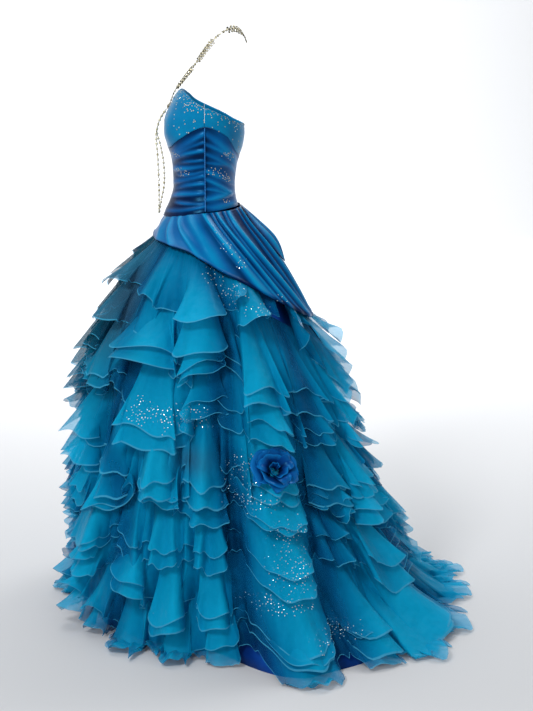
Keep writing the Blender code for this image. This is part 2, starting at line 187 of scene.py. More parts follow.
def cloth(name, columns, rows, place, closed=False, marks=None):
    """A sheet of cloth as a fine grid shaped by place(u, v), u round the body and v downwards.

    Each mark gives a number for every point, which the material or the beading reads.
    """
    across = columns if closed else columns + 1
    u, v = np.meshgrid(np.arange(across) / columns, np.arange(rows + 1) / rows)
    u, v = u.ravel(), v.ravel()
    row, column = np.mgrid[0:rows, 0:columns]
    right = (column + 1) % across
    here, below = row * across, (row + 1) * across
    corners = np.stack([here + column, below + column, below + right, here + right], axis=-1)
    made = shaped(name, place(u, v).tolist(), corners.reshape(-1, 4).tolist())
    mesh = made.data
    chart = mesh.uv_layers.new(name="cloth")
    steps = np.array([(0, 0), (0, 1), (1, 1), (1, 0)])
    places = np.stack([column, row], axis=-1).reshape(-1, 1, 2) + steps
    chart.data.foreach_set("uv", (places / (columns, rows)).astype(np.float32).ravel())
    for mark, number_at in (marks or {}).items():
        values = mesh.attributes.new(mark, "FLOAT", "POINT")
        values.data.foreach_set("value", np.clip(number_at(u, v), 0, 1).astype(np.float32))
    mesh.shade_smooth()
    return made


def dressed(piece, material, slot, *nodes):
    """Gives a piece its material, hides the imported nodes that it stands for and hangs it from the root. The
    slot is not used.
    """
    if material:
        piece.data.materials.append(material)
    if nodes:
        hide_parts(*nodes)
    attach(piece, "root")


def walled(piece, thickness):
    """Gives a sheet its real wall, inwards from its face."""
    wall = piece.modifiers.new("wall", "SOLIDIFY")
    wall.thickness = thickness
    wall.offset = -1


def linear(code):
    """An sRGB hex value as linear red, green and blue."""
    parts = [int(code[i : i + 2], 16) / 255 for i in (1, 3, 5)]
    return tuple(p / 12.92 if p <= 0.04045 else ((p + 0.055) / 1.055) ** 2.4 for p in parts) + (1.0,)


def add(tree, kind, wires=None, **settings):
    """Adds a node with its settings. Wires give an input its value, or the output that feeds it."""
    made = tree.nodes.new(kind)
    for name, value in settings.items():
        setattr(made, name, value)
    for name, value in (wires or {}).items():
        if isinstance(value, bpy.types.NodeSocket):
            tree.links.new(value, made.inputs[name])
        else:
            made.inputs[name].default_value = value
    return made


def maths(tree, operation, *values):
    """The outcome of a Math node."""
    return add(tree, "ShaderNodeMath", dict(enumerate(values)), operation=operation).outputs[0]


def noise(tree, place, scale, detail=2.0):
    return add(tree, "ShaderNodeTexNoise", {"Vector": place, "Scale": scale, "Detail": detail}).outputs["Fac"]


def marked(tree, name):
    """A mark that cloth() gave the sheet."""
    return add(tree, "ShaderNodeAttribute", attribute_name=name).outputs["Fac"]


def bump(tree, height, strength, distance, under=None):
    """The shading direction over bumps, which may lie on coarser ones."""
    wires = {"Height": height, "Strength": strength, "Distance": distance}
    if under:
        wires["Normal"] = under
    return add(tree, "ShaderNodeBump", wires).outputs["Normal"]


def tones(tree, factor, stops):
    """A colour ramp fed by the factor, with its stops as (place, hex)."""
    ramp = add(tree, "ShaderNodeValToRGB", {"Fac": factor})
    while len(ramp.color_ramp.elements) < len(stops):
        ramp.color_ramp.elements.new(0.5)
    for element, (place, code) in zip(ramp.color_ramp.elements, stops):
        element.position = place
        element.color = linear(code)
    return ramp.outputs["Color"]


def new_material(name):
    """A material with its tree, its place in the object's own space, and a way to set its shader."""
    made = bpy.data.materials.new(name)
    made.use_nodes = True
    tree = made.node_tree
    shader = tree.nodes["Principled BSDF"]

    def finished(values):
        for label, value in values.items():
            if isinstance(value, bpy.types.NodeSocket):
                tree.links.new(value, shader.inputs[label])
            else:
                shader.inputs[label].default_value = value
        return made

    return tree, add(tree, "ShaderNodeTexCoord").outputs["Object"], finished


def finish(name, texture, scale, stops, values, **settings):
    """A material whose colour follows one texture, with the shader's other values by name."""
    tree, place, finished = new_material(name)
    pattern = add(tree, "ShaderNodeTex" + texture, {"Vector": place, "Scale": scale}, **settings)
    output = "Color" if texture == "Voronoi" else "Fac"
    return finished({"Base Color": tones(tree, pattern.outputs[output], stops), **values})


def duchess_satin(name, deep, mid, bright, shade=0.55):
    """Duchess satin: heavy woven polyester whose long floats give a broad gloss and soft, deep creases."""
    tree, place, finished = new_material(name)
    # The folds' ridges are marked 1 and their valleys 0. The valleys take the deep tone as painted shade and
    # the ridges the bright tone as painted light, with some random unevenness of tone.
    risen = maths(tree, "MULTIPLY", marked(tree, "ridge"), shade)
    mixed = maths(tree, "MULTIPLY_ADD", noise(tree, place, 14.0, 3.0), 1.0 - shade, risen)
    creased = bump(tree, noise(tree, place, 30.0), 0.28, 0.004)
    # Real floats are 0.1 mm apart. They are drawn at 0.9 mm, the finest that still shows.
    spaced = {"Vector": place, "Scale": 350.0, "Distortion": 1.2}
    weave = add(tree, "ShaderNodeTexWave", spaced, bands_direction="DIAGONAL").outputs["Fac"]
    return finished({
        "Base Color": tones(tree, mixed, [(0.18, deep), (0.50, mid), (0.84, bright)]),
        "Normal": bump(tree, weave, 0.05, 0.0003, creased),
        "Roughness": 0.33,
        "Specular IOR Level": 0.32,
        "Specular Tint": linear("#5CC6FF"),
        "Sheen Weight": 0.10,
        "Sheen Roughness": 0.40,
        "Sheen Tint": linear("#10A0E8"),
    })


# Each satin's deep tone is its painted shade and its bright tone its painted light.
bodice_satin = duchess_satin("duchess_satin_bodice", "#01103C", "#05589A", "#0A80BC", 0.72)
yoke_satin = duchess_satin("duchess_satin_yoke", "#045E94", "#0678AC", "#0B8CBC", 0.35)
bodice_sheets = {}


def yoke_place(first, last, u, v):
    angle = between(first, last, u)
    height = between(bodice_edge(angle, 1), bodice_edge(angle, 2) + SEAM, v)
    rolled = 0.0012 * hump(v, 0.04) + 0.0009 * hump(1 - v, 0.05)
    pull = 0.0010 * np.sin(math.pi * v) * uneven(3, (angle / 90, 1), (v, 1))
    return bodice_surface(angle, height, rolled + pull)


# Painted shade along the yoke's lower edge at the seam, with lighter and darker patches at random.
def yoke_painted_shade(u, v):
    return 0.75 + 0.25 * uneven(4, (u, 2), (v, 1)) - 0.5 * hump(1 - v, 0.06)


def yoke_beads(first, last, u, v):
    """Crystals crowd under the neckline, thickest over the side seams, and thin out below it."""
    side = folded(between(first, last, u))
    crowd = hump(v, 0.16) * (0.40 + 0.60 * hump(side - 110, 38))
    patch = 0.45 * hump(side - 70, 18) * hump(v - 0.22, 0.16)
    return crowd + patch + 0.06 + 0.05 * uneven(6, (u, 5), (v, 2))


for panel, first, last, columns in BODICE_PANELS:
    marks = {"ridge": yoke_painted_shade, "beading": partial(yoke_beads, first, last)}
    yoke = cloth(f"yoke_{panel}_satin", columns, 30, partial(yoke_place, first, last), marks=marks)
    dressed(yoke, yoke_satin, "satin", "yoke_" + panel)
    width = 0.42 if panel == "front" else 0.21
    bodice_sheets["yoke_" + panel] = yoke

# Midriff: satin gathered by hand over the boned wall and caught in the side and centre back seams.
# Its creases start in the side seams, deepest there, and run out at a slant over the front and the back.
GATHER_DEPTH = 0.0052
MIDRIFF_CREASES = (
    # height at the side seam, angle of its far end, height there, half width, strength
    (0.137, 15, 0.078, 0.0085, 0.9),
    (0.112, 25, 0.081, 0.0050, 0.8),
    (0.094, 10, 0.062, 0.0060, 1.0),
    (0.075, 35, 0.056, 0.0040, 0.7),
    (0.060, 5, 0.040, 0.0060, 1.0),
    (0.043, 30, 0.034, 0.0040, 0.7),
    (0.029, 8, 0.013, 0.0060, 0.9),
    (0.010, 20, -0.004, 0.0050, 0.9),
    (-0.008, 5, -0.030, 0.0060, 1.0),
    (-0.030, 28, -0.040, 0.0040, 0.8),
    (-0.041, 6, -0.062, 0.0050, 0.9),
    (0.140, 176, 0.036, 0.0105, 0.9),
    (0.108, 165, 0.050, 0.0060, 0.7),
    (0.088, 172, 0.022, 0.0060, 0.9),
    (0.070, 150, 0.048, 0.0040, 0.5),
    (0.045, 172, 0.004, 0.0070, 0.9),
    (0.020, 160, -0.022, 0.0060, 0.9),
    (0.000, 140, -0.020, 0.0040, 0.6),
    (-0.022, 176, -0.014, 0.0075, 0.9),
    (-0.044, 174, -0.038, 0.0070, 0.8),
)
MIDRIFF_BEADS = (
    # angle, height, half angle, half height
    (36, 0.086, 13, 0.007),
    (46, 0.040, 20, 0.011),
    (128, 0.083, 13, 0.012),
    (112, 0.041, 22, 0.012),
    (136, 0.022, 9, 0.010),
    (131, -0.034, 11, 0.010),
)
# The midriff's drifts slant down towards the back, in metres to a degree.
BEAD_SLANT = 0.00035


def midriff_gather(angle, height):
    """The creases' height from 0 to about 1 over the midriff."""
    side, total = folded(angle), 0.0
    for start, far, end, wide, strength in MIDRIFF_CREASES:
        along = (side - 90) / (far - 90)
        middle = start + (end - start) * along + 0.004 * np.sin(3 * along + 70 * start)
        offset = (height - middle) / (wide * (1 + 0.5 * along))
        ridge = np.exp(-np.where(offset < 0, 2.6, 0.9) * offset**2)
        kept = np.clip((along + 0.01) * 60, 0, 1) * np.clip((1.08 - along) * 2.2, 0, 1)
        total = total + strength * ridge * kept * (0.75 + 0.25 * np.cos(5 * along + 90 * end))
    return np.minimum(total, 1.25)


def midriff_height(angle, v):
    return between(bodice_edge(angle, 2) - SEAM, bodice_edge(angle, 3), v)


def midriff_place(first, last, u, v):
    angle = between(first, last, u)
    height = midriff_height(angle, v)
    raised = GATHER_DEPTH * midriff_gather(angle, height) * np.clip(np.minimum(v, 1 - v) * 14, 0, 1)
    return bodice_surface(angle, height, raised + SEAM)


# Painted light on the gathers' ridges and painted shade in their valleys; the plainer back is painted lighter.
def midriff_painted_shade(first, last, u, v):
    angle = between(first, last, u)
    plain = 0.30 * np.clip((folded(angle) - 92) / 20, 0, 1)
    return 0.06 + plain + 0.80 * midriff_gather(angle, midriff_height(angle, v))


def midriff_beads(first, last, u, v):
    angle = between(first, last, u)
    return drifts(MIDRIFF_BEADS, folded(angle), midriff_height(angle, v), BEAD_SLANT) - 0.25


for panel, first, last, columns in BODICE_PANELS:
    marks = {"ridge": partial(midriff_painted_shade, first, last), "beading": partial(midriff_beads, first, last)}
    place = partial(midriff_place, first, last)
    midriff = cloth(f"midriff_{panel}_satin", columns, 110, place, marks=marks)
    dressed(midriff, bodice_satin, "satin", "midriff_" + panel)
    width = 0.36 if panel == "front" else 0.18
    bodice_sheets["midriff_" + panel] = midriff

# Side piping and back zip: satin-covered cord in the side seams, and the woven tape of a concealed zip.
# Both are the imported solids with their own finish, because their plain shapes are the real ones.
tones_of_piping = [(0.2, "#0F66B4"), (0.8, "#1D84CC")]
bias = {"bands_direction": "DIAGONAL"}
piping_satin = finish("bias_cut_satin_piping", "Wave", 90.0, tones_of_piping, {"Roughness": 0.34}, **bias)
tones_of_tape = [(0.2, "#0B3C74"), (0.8, "#12559C")]
# The tape's ribs are about 1 mm apart.
ribs = {"bands_direction": "Z"}
zip_tape = finish("woven_polyester_zip_tape", "Wave", 300.0, tones_of_tape, {"Roughness": 0.7}, **ribs)
for name, material in (("piping_left", piping_satin), ("piping_right", piping_satin), ("back_zip", zip_tape)):
    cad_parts[name].data.materials.clear()
    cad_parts[name].data.materials.append(material)

# Bodice beading: crystals in metal cups, sewn one by one through the satin along the neckline and in drifts.
# Each has eight facets over a foiled back, and they vary from 2 to 3 mm across.
# The crystals' dark and near-white cells are painted dark reflections and glints in their facets.
foiled_crystal = finish(
    "foiled_crystal",
    "Voronoi",
    420.0,
    [(0.1, "#8F845C"), (0.4, "#EDE2BC"), (0.9, "#FFFDF2")],
    {"Metallic": 0.20, "Roughness": 0.10, "Coat Weight": 1.0, "Coat Roughness": 0.04},
)
tones_of_silver = [(0.3, "#4A4434"), (0.7, "#A89F80")]
plating = {"Metallic": 1.0, "Roughness": 0.28}
silver_setting = finish("silver_plated_setting", "Noise", 160.0, tones_of_silver, plating)


def facets(rings, sides):
    """Points on rings round Z, each given as radius, height and shift by a part of a facet."""
    points = []
    for radius, height, shift in rings:
        turns = (np.arange(sides) + shift) * 2 * math.pi / sides
        points += [(radius * math.cos(t), radius * math.sin(t), height) for t in turns]
    return points


def cut_stone():
    """A round stone in its cup, with a girdle of radius 1 and its table towards +Z."""
    rings = ((0.55, 0.50, 0.5), (0.94, 0.16, 0.0), (1.12, 0.20, 0.0), (0.86, -0.55, 0.0))
    faces, metal = [tuple(range(8))], [False]
    for i in range(8):
        j = (i + 1) % 8
        faces += [(8 + i, 8 + j, i), (i, 8 + j, j)]
        faces += [(16 + i, 16 + j, 8 + j, 8 + i), (24 + i, 24 + j, 16 + j, 16 + i)]
        metal += [False, False, True, True]
    faces.append(tuple(range(31, 23, -1)))
    metal.append(True)
    made = shaped("cut_stone", facets(rings, 8), faces)
    made.data.attributes.new("setting", "BOOLEAN", "FACE").data.foreach_set("value", metal)
    return made


def new_tree(name, **kinds):
    """A Geometry Nodes tree with a geometry in and out, and the named inputs with their kinds."""
    tree = bpy.data.node_groups.new(name, "GeometryNodeTree")
    for label, kind in {"Geometry": "Geometry", **kinds}.items():
        tree.interface.new_socket(name=label, in_out="INPUT", socket_type="NodeSocket" + kind)
    tree.interface.new_socket(name="Geometry", in_out="OUTPUT", socket_type="NodeSocketGeometry")
    return tree, add(tree, "NodeGroupInput").outputs


def named(tree, name, kind):
    """A mark of the mesh, in a Geometry Nodes tree."""
    return add(tree, "GeometryNodeInputNamedAttribute", {"Name": name}, data_type=kind).outputs["Attribute"]


def turned_about(tree, rotation, euler):
    """A rotation turned on about its own axes."""
    turn = add(tree, "FunctionNodeEulerToRotation", {"Euler": euler}).outputs["Rotation"]
    wires = {"Rotation": rotation, "Rotate By": turn}
    return add(tree, "FunctionNodeRotateRotation", wires, rotation_space="LOCAL").outputs["Rotation"]


def close_tree(tree, asked, points, rotation, size):
    """Ends a tree: a real bead at each point, with the stones' material and that of their metal."""
    bead = add(tree, "GeometryNodeObjectInfo", {"Object": asked["Bead"]}).outputs["Geometry"]
    wires = {"Points": points, "Instance": bead, "Rotation": rotation, "Scale": size}
    sewn = add(tree, "GeometryNodeInstanceOnPoints", wires).outputs["Instances"]
    real = add(tree, "GeometryNodeRealizeInstances", {"Geometry": sewn}).outputs["Geometry"]
    wires = {"Geometry": real, "Material": asked["Material"]}
    stones = add(tree, "GeometryNodeSetMaterial", wires).outputs["Geometry"]
    wires = {"Geometry": stones, "Selection": named(tree, "setting", "BOOLEAN"), "Material": asked["Metal"]}
    ready = add(tree, "GeometryNodeSetMaterial", wires).outputs["Geometry"]
    add(tree, "NodeGroupOutput", {"Geometry": ready})
    return tree


def beading_tree():
    """Scatters beads over a sheet as its beading mark says, each turned to the cloth and tipped a little."""
    kinds = dict(Apart="Float", Crowd="Float", Smallest="Float", Largest="Float", Tip="Float", Seed="Int")
    tree, asked = new_tree("beading", Bead="Object", **kinds, Material="Material", Metal="Material")
    wires = {"Mesh": asked["Geometry"], "Distance Min": asked["Apart"], "Density Max": asked["Crowd"]}
    wires |= {"Density Factor": named(tree, "beading", "FLOAT"), "Seed": asked["Seed"]}
    spots = add(tree, "GeometryNodeDistributePointsOnFaces", wires, distribute_method="POISSON").outputs
    wires = {2: asked["Smallest"], 3: asked["Largest"], "Seed": asked["Seed"]}
    size = add(tree, "FunctionNodeRandomValue", wires).outputs[1]
    less = maths(tree, "SUBTRACT", 0.0, asked["Tip"])
    low = add(tree, "ShaderNodeCombineXYZ", {"X": less, "Y": less, "Z": -3.0})
    high = add(tree, "ShaderNodeCombineXYZ", {"X": asked["Tip"], "Y": asked["Tip"], "Z": 3.0})
    wires = {0: low.outputs["Vector"], 1: high.outputs["Vector"], "Seed": asked["Seed"]}
    tip = add(tree, "FunctionNodeRandomValue", wires, data_type="FLOAT_VECTOR").outputs[0]
    return close_tree(tree, asked, spots["Points"], turned_about(tree, spots["Rotation"], tip), size)


def grown(name, source, tree, **values):
    """What a tree makes of its source, as a plain object. The source keeps its shape."""
    maker = source.modifiers.new("maker", "NODES")
    maker.node_group = tree
    for item in tree.interface.items_tree:
        if item.in_out == "INPUT" and item.name in values:
            maker[item.identifier] = values[item.name]
    bpy.context.view_layer.update()
    ready = source.evaluated_get(bpy.context.evaluated_depsgraph_get())
    made = linked(name, bpy.data.meshes.new_from_object(ready))
    source.modifiers.remove(maker)
    made.data.name = name
    return made


stone = cut_stone()
beading = beading_tree()
crystal_kind = dict(Bead=stone, Smallest=0.0010, Largest=0.0016, Tip=0.16, Material=foiled_crystal)
for index, (name, sheet) in enumerate(bodice_sheets.items()):
    # Beads to a square metre, where they lie thickest.
    crowd, least = (90000.0, 0.0042) if name.startswith("yoke") else (110000.0, 0.0036)
    asked = {**crystal_kind, "Crowd": crowd, "Apart": least, "Seed": 11 + index, "Metal": silver_setting}
    dressed(grown(name + "_crystals", sheet, beading, **asked), None, "jewels")
    walled(sheet, BODICE_WALL)

# Halter: a chain of set stones that leaves the front jewel, circles the neck and comes back to it.
# Small stones alternate with clusters two and three stones wide, linked cup to cup by a fine silver chain.
HALTER_HALF = (
    # across, depth, height, thickness
    (0.0040, -0.0876, 0.2082, 0.9),
    (0.0150, -0.0740, 0.2400, 1.0),
    (0.0270, -0.0500, 0.2720, 2.1),
    (0.0400, -0.0200, 0.3080, 1.2),
    (0.0500, 0.0020, 0.3380, 2.3),
    (0.0600, 0.0240, 0.3640, 1.2),
    (0.0640, 0.0500, 0.3850, 1.0),
    (0.0500, 0.0800, 0.3930, 2.0),
    (0.0260, 0.1000, 0.3780, 1.1),
)
HALTER_NAPE = (0.0, 0.1080, 0.3600, 1.0)
CHAIN_STEP, CHAIN_RADIUS = 0.0074, 0.0006
STONE_SIZE, CLUSTER_STONE_SIZE, CLUSTER_REACH = 0.0031, 0.0028, 0.0062


def through(points, count):
    """Evenly spaced points on a smooth curve through the route's own points."""
    route = np.array(points, float)
    reach = np.concatenate([[0], np.cumsum(np.linalg.norm(np.diff(route[:, :3], axis=0), axis=1))])
    at = np.linspace(0, reach[-1], count)
    ends = np.concatenate([[2 * route[0] - route[1]], route, [2 * route[-1] - route[-2]]])
    k = np.clip(np.searchsorted(reach, at) - 1, 0, len(route) - 2)
    t = ((at - reach[k]) / (reach[k + 1] - reach[k]))[:, None]
    a, b, c, d = ends[k], ends[k + 1], ends[k + 2], ends[k + 3]
    return b + 0.5 * t * (c - a + t * (2 * a - 5 * b + 4 * c - d + t * (3 * (b - c) + d - a)))


def setting_tree():
    """Sets a stone at each point of a mesh, at the size and facing marked there."""
    tree, asked = new_tree("stone_setting", Bead="Object", Seed="Int", Material="Material", Metal="Material")
    wires = {"Vector": named(tree, "facing", "FLOAT_VECTOR")}
    facing = add(tree, "FunctionNodeAlignRotationToVector", wires, axis="Z").outputs["Rotation"]
    spin = add(tree, "FunctionNodeRandomValue", {2: -3.0, 3: 3.0, "Seed": asked["Seed"]}).outputs[1]
    about = add(tree, "ShaderNodeCombineXYZ", {"Z": spin}).outputs["Vector"]
    points = add(tree, "GeometryNodeMeshToPoints", {"Mesh": asked["Geometry"]}).outputs["Points"]
    size = named(tree, "size", "FLOAT")
    return close_tree(tree, asked, points, turned_about(tree, facing, about), size)


stone_setting = setting_tree()


def set_stones(name, pattern, material, seed, places, sizes, facings):
    """Stones or beads at these places, each at its size and facing its own way."""
    spots = shaped(name + "_spots", [tuple(p) for p in places])
    marks = spots.data.attributes
    marks.new("size", "FLOAT", "POINT").data.foreach_set("value", np.array(sizes, np.float32))
    turned = marks.new("facing", "FLOAT_VECTOR", "POINT")
    turned.data.foreach_set("vector", np.array(facings, np.float32).ravel())
    made = grown(name, spots, stone_setting, Bead=pattern, Seed=seed, Material=material, Metal=silver_setting)
    bpy.data.objects.remove(spots)
    return made


def ring_faces(rings, sides):
    """Faces between rings of points, which follow one another."""
    faces = []
    for low in range(0, (rings - 1) * sides, sides):
        for i in range(sides):
            j = (i + 1) % sides
            faces.append((low + i, low + j, low + sides + j, low + sides + i))
    return faces


def wire(name, points, radius, sides):
    """A round wire or thread along the points, as a mesh tube with closed ends."""
    points = np.asarray(points, float)
    ahead = np.gradient(points, axis=0)
    ahead /= np.linalg.norm(ahead, axis=1)[:, None]
    side = np.cross(ahead, (0.31, 0.95, 0.05))
    side /= np.linalg.norm(side, axis=1)[:, None]
    other = np.cross(ahead, side)
    turns = (np.arange(sides) * 2 * math.pi / sides)[None, :, None]
    rings = points[:, None] + radius * (np.cos(turns) * side[:, None] + np.sin(turns) * other[:, None])
    last = (len(points) - 1) * sides
    ends = [tuple(range(sides - 1, -1, -1)), tuple(range(last, last + sides))]
    made = shaped(name, rings.reshape(-1, 3).tolist(), ring_faces(len(points), sides) + ends)
    made.data.shade_smooth()
    return made


halter_right = [(-x, y, z, thick) for x, y, z, thick in reversed(HALTER_HALF)]
halter_length = 0.58
halter_line = through([*HALTER_HALF, HALTER_NAPE, *halter_right], int(halter_length / CHAIN_STEP))
halter_places, halter_sizes, halter_facings = [], [], []
for index, (x, y, z, thick) in enumerate(halter_line):
    after = halter_line[min(index + 1, len(halter_line) - 1)][:3]
    before = halter_line[max(index - 1, 0)][:3]
    ahead = (after - before) / np.linalg.norm(after - before)
    out = np.array([x, y - 0.03, 0.25 * (z - 0.25)])
    out -= ahead * (out @ ahead)
    out /= np.linalg.norm(out)
    wide = np.cross(ahead, out)
    place = np.array([x, y, z])
    halter_places.append(place)
    halter_sizes.append(STONE_SIZE + 0.0009 * min(thick - 0.9, 1.0) - 0.0008 * (index % 2))
    halter_facings.append(out)
    if thick > 1.4:
        for side in (-1, 1):
            beside = place + side * CLUSTER_REACH * wide
            halter_places.append(beside + 0.5 * CHAIN_STEP * ahead - 0.0008 * out)
            halter_sizes.append(CLUSTER_STONE_SIZE)
            halter_facings.append(out + 0.5 * side * wide)
halter_stones = set_stones(
    "halter_stones", stone, foiled_crystal, 4, halter_places, halter_sizes, halter_facings
)
halter_chain = wire("halter_chain", halter_line[:, :3], CHAIN_RADIUS, 6)
halter_chain.data.materials.append(silver_setting)
for piece in (halter_stones, halter_chain):
    dressed(piece, None, "jewels", "halter")

# Front jewel: the cluster sewn to the neckline's middle, which the halter and the bead strand leave.
# One large stone sits in a ring of small ones, all soldered to a silver-plated back with a raised edge.
JEWEL_PLACE, JEWEL_TURN, JEWEL_SIZE = (0.0, -0.0912, 0.2014), 1.1117, 0.0042
RING_STONES, RING_RADIUS, RING_SIZE = 10, 0.0060, 0.0015
PLATE_SIDES = 24
PLATE_PROFILE = (
    # radius, height
    (0.0, -0.0022),
    (0.0074, -0.0022),
    (0.0079, -0.0012),
    (0.0077, 0.0002),
    (0.0066, -0.0006),
    (0.0, -0.0006),
)
jewel_turn = Euler((JEWEL_TURN, 0, 0)).to_matrix()
jewel_out = np.array(jewel_turn @ Vector((0, 0, 1)))
jewel_places = [np.array(JEWEL_PLACE) + 0.0016 * jewel_out]
jewel_sizes, jewel_facings = [JEWEL_SIZE], [jewel_out]
for step in range(RING_STONES):
    turn = 2 * math.pi * step / RING_STONES
    spoke = np.array(jewel_turn @ Vector((math.cos(turn), math.sin(turn), 0)))
    jewel_places.append(np.array(JEWEL_PLACE) + RING_RADIUS * spoke + 0.0002 * jewel_out)
    jewel_sizes.append(RING_SIZE)
    jewel_facings.append(jewel_out + 0.45 * spoke)
jewel_stones = set_stones(
    "front_jewel_stones", stone, foiled_crystal, 2, jewel_places, jewel_sizes, jewel_facings
)
plate_points = []
for radius, height in PLATE_PROFILE:
    for step in range(PLATE_SIDES):
        turn = 2 * math.pi * step / PLATE_SIDES
        local = Vector((radius * math.cos(turn), radius * math.sin(turn), height))
        plate_points.append(Vector(JEWEL_PLACE) + jewel_turn @ local)
jewel_plate = shaped("front_jewel_plate", plate_points, ring_faces(len(PLATE_PROFILE), PLATE_SIDES))
jewel_plate.data.shade_smooth()
jewel_plate.data.materials.append(silver_setting)
for piece in (jewel_stones, jewel_plate):
    dressed(piece, None, "jewels", "front_jewel")

# Bead strand: faceted glass beads on beading thread, hung in one long loop from the front jewel.
# Beads 8 mm long alternate with small spacers, and both ends of the thread are knotted behind the jewel.
STRAND_ROUTE = (
    (0.0022, -0.0946, 0.1957),
    (0.0090, -0.1080, 0.1780),
    (0.0180, -0.1190, 0.1520),
    (0.0240, -0.1230, 0.1250),
    (0.0250, -0.1200, 0.0800),
    (0.0240, -0.1180, 0.0200),
    (0.0220, -0.1180, -0.0300),
    (0.0160, -0.1185, -0.0580),
    (0.0020, -0.1190, -0.0690),
    (-0.0120, -0.1170, -0.0580),
    (-0.0190, -0.1120, -0.0300),
    (-0.0220, -0.1060, 0.0000),
    (-0.0240, -0.1060, 0.0500),
    (-0.0250, -0.1140, 0.1000),
    (-0.0230, -0.1220, 0.1350),
    (-0.0130, -0.1140, 0.1650),
    (-0.0022, -0.0946, 0.1957),
)
THREAD_RADIUS, BEAD_STEP = 0.0006, 0.0062
LARGEST_BEAD, BEAD_SIZE, SPACER_SIZE = 0.0048, 0.0041, 0.0016
strand_line = through(STRAND_ROUTE, 92)
strand_length = float(np.linalg.norm(np.diff(strand_line, axis=0), axis=1).sum())
thread = wire("bead_strand_thread", strand_line, THREAD_RADIUS, 6)
tones_of_thread = [(0.2, "#B9B2A0"), (0.8, "#E4DFD0")]
beading_thread = finish("waxed_beading_thread", "Wave", 500.0, tones_of_thread, {"Roughness": 0.5}, **bias)
thread.data.materials.append(beading_thread)


def glass_bead():
    """A faceted oval bead 1 long from its middle to its end, along Z."""
    rings = ((0.28, 0.98, 0.0), (0.70, 0.50, 0.5), (0.80, 0.0, 0.0), (0.70, -0.50, 0.5), (0.28, -0.98, 0.0))
    faces = []
    for ring in range(4):
        for i in range(6):
            j = (i + 1) % 6
            low, high = (ring + 1) * 6, ring * 6
            if ring % 2 == 0:
                faces += [(high + i, low + i, high + j), (high + j, low + i, low + j)]
            else:
                faces += [(high + i, low + i, low + j), (high + i, low + j, high + j)]
    faces += [tuple(range(6)), tuple(range(29, 23, -1))]
    return shaped("glass_bead", facets(rings, 6), faces)


bead = glass_bead()
bead_line = through(STRAND_ROUTE, int(strand_length / BEAD_STEP))
bead_ahead = np.gradient(bead_line, axis=0)
bead_sizes = [BEAD_SIZE if index % 2 == 0 else SPACER_SIZE for index in range(len(bead_line))]
bead_sizes[2 * (len(bead_line) // 11)] = LARGEST_BEAD
# The beads' champagne tint is their own; their darker and near-white cells are painted reflections and glints.
champagne_glass = finish(
    "champagne_glass",
    "Voronoi",
    330.0,
    [(0.15, "#A89868"), (0.5, "#EADFB8"), (0.85, "#FFFBEA")],
    {"Roughness": 0.12, "Coat Weight": 1.0},
)
strand_pieces = [thread]
for name, first, material in (("beads", 2, champagne_glass), ("spacers", 1, silver_setting)):
    chosen = slice(first, -1, 2)
    places, sizes, facings = bead_line[chosen], bead_sizes[chosen], bead_ahead[chosen]
    strand_pieces.append(set_stones("bead_strand_" + name, bead, material, 9, places, sizes, facings))
for piece in strand_pieces:
    dressed(piece, None, "jewels", "bead_strand")

# Underskirt: plain blue satin, which carries every flounce and shows only where they part.
# Its upper front, two lower front gores and back are seamed flat, so front and back each read as one panel.
SKIRT_ANGLES = (0, 60, 90, 115, 150, 180)
SKIRT_RADII = (
    # height, front, 60, left side, 115, 150, back
    (-0.050, 0.096, 0.119, 0.131, 0.122, 0.098, 0.090),
    (-0.090, 0.103, 0.134, 0.153, 0.145, 0.117, 0.106),
    (-0.140, 0.119, 0.160, 0.184, 0.177, 0.150, 0.138),
    (-0.240, 0.178, 0.212, 0.235, 0.230, 0.206, 0.190),
    (-0.340, 0.226, 0.249, 0.268, 0.270, 0.252, 0.236),
    (-0.480, 0.268, 0.283, 0.300, 0.315, 0.306, 0.292),
    (-0.600, 0.288, 0.300, 0.318, 0.350, 0.346, 0.336),
    (-0.750, 0.301, 0.313, 0.334, 0.390, 0.394, 0.386),
    (-0.880, 0.310, 0.324, 0.348, 0.434, 0.444, 0.436),
    (-0.990, 0.316, 0.332, 0.360, 0.485, 0.494, 0.488),
    (-1.070, 0.318, 0.336, 0.370, 0.540, 0.548, 0.545),
    (-1.120, 0.320, 0.340, 0.380, 0.592, 0.598, 0.602),
)


def skirt_radius(angle, height):
    """Radius of the underskirt's face."""
    angle, height = np.broadcast_arrays(np.asarray(angle, float), np.asarray(height, float))
    columns = [read_off(SKIRT_RADII[::-1], column, height.ravel()) for column in range(1, 7)]
    values = np.array([columns[1], *columns, columns[4]])
    return smooth((-60, *SKIRT_ANGLES, 210), values, folded(angle.ravel())).reshape(angle.shape)


def around(angle, radius, height):
    """A point from its angle, its distance from the middle and its height."""
    turn = np.radians(angle)
    return np.stack([radius * np.sin(turn), -radius * np.cos(turn), height], axis=-1)


# Degrees from one slight fold of the underskirt to the next.
FOLD_ANGLE = 24
under_satin = duchess_satin("duchess_satin_underskirt", "#021246", "#07307C", "#1558C0")
UNDERSKIRT_PANELS = (
    # name, the pieces it is cut in, first angle, last angle, width at the hem
    ("front", ("front_upper", "front_left", "front_right"), -89.88, 89.88, 1.1),
    ("back", ("back",), 90.12, 269.88, 1.9),
)


def underskirt_place(first, last, u, v):
    """Points on the underskirt, which hangs in slight folds."""
    angle = between(first, last, u)
    height = between(bodice_edge(angle, 3) - 0.0028, FLOOR, v)
    hang = -0.0035 * v * (1 + np.cos(2 * math.pi * angle / FOLD_ANGLE))
    return around(angle, skirt_radius(angle, height) + hang, height)


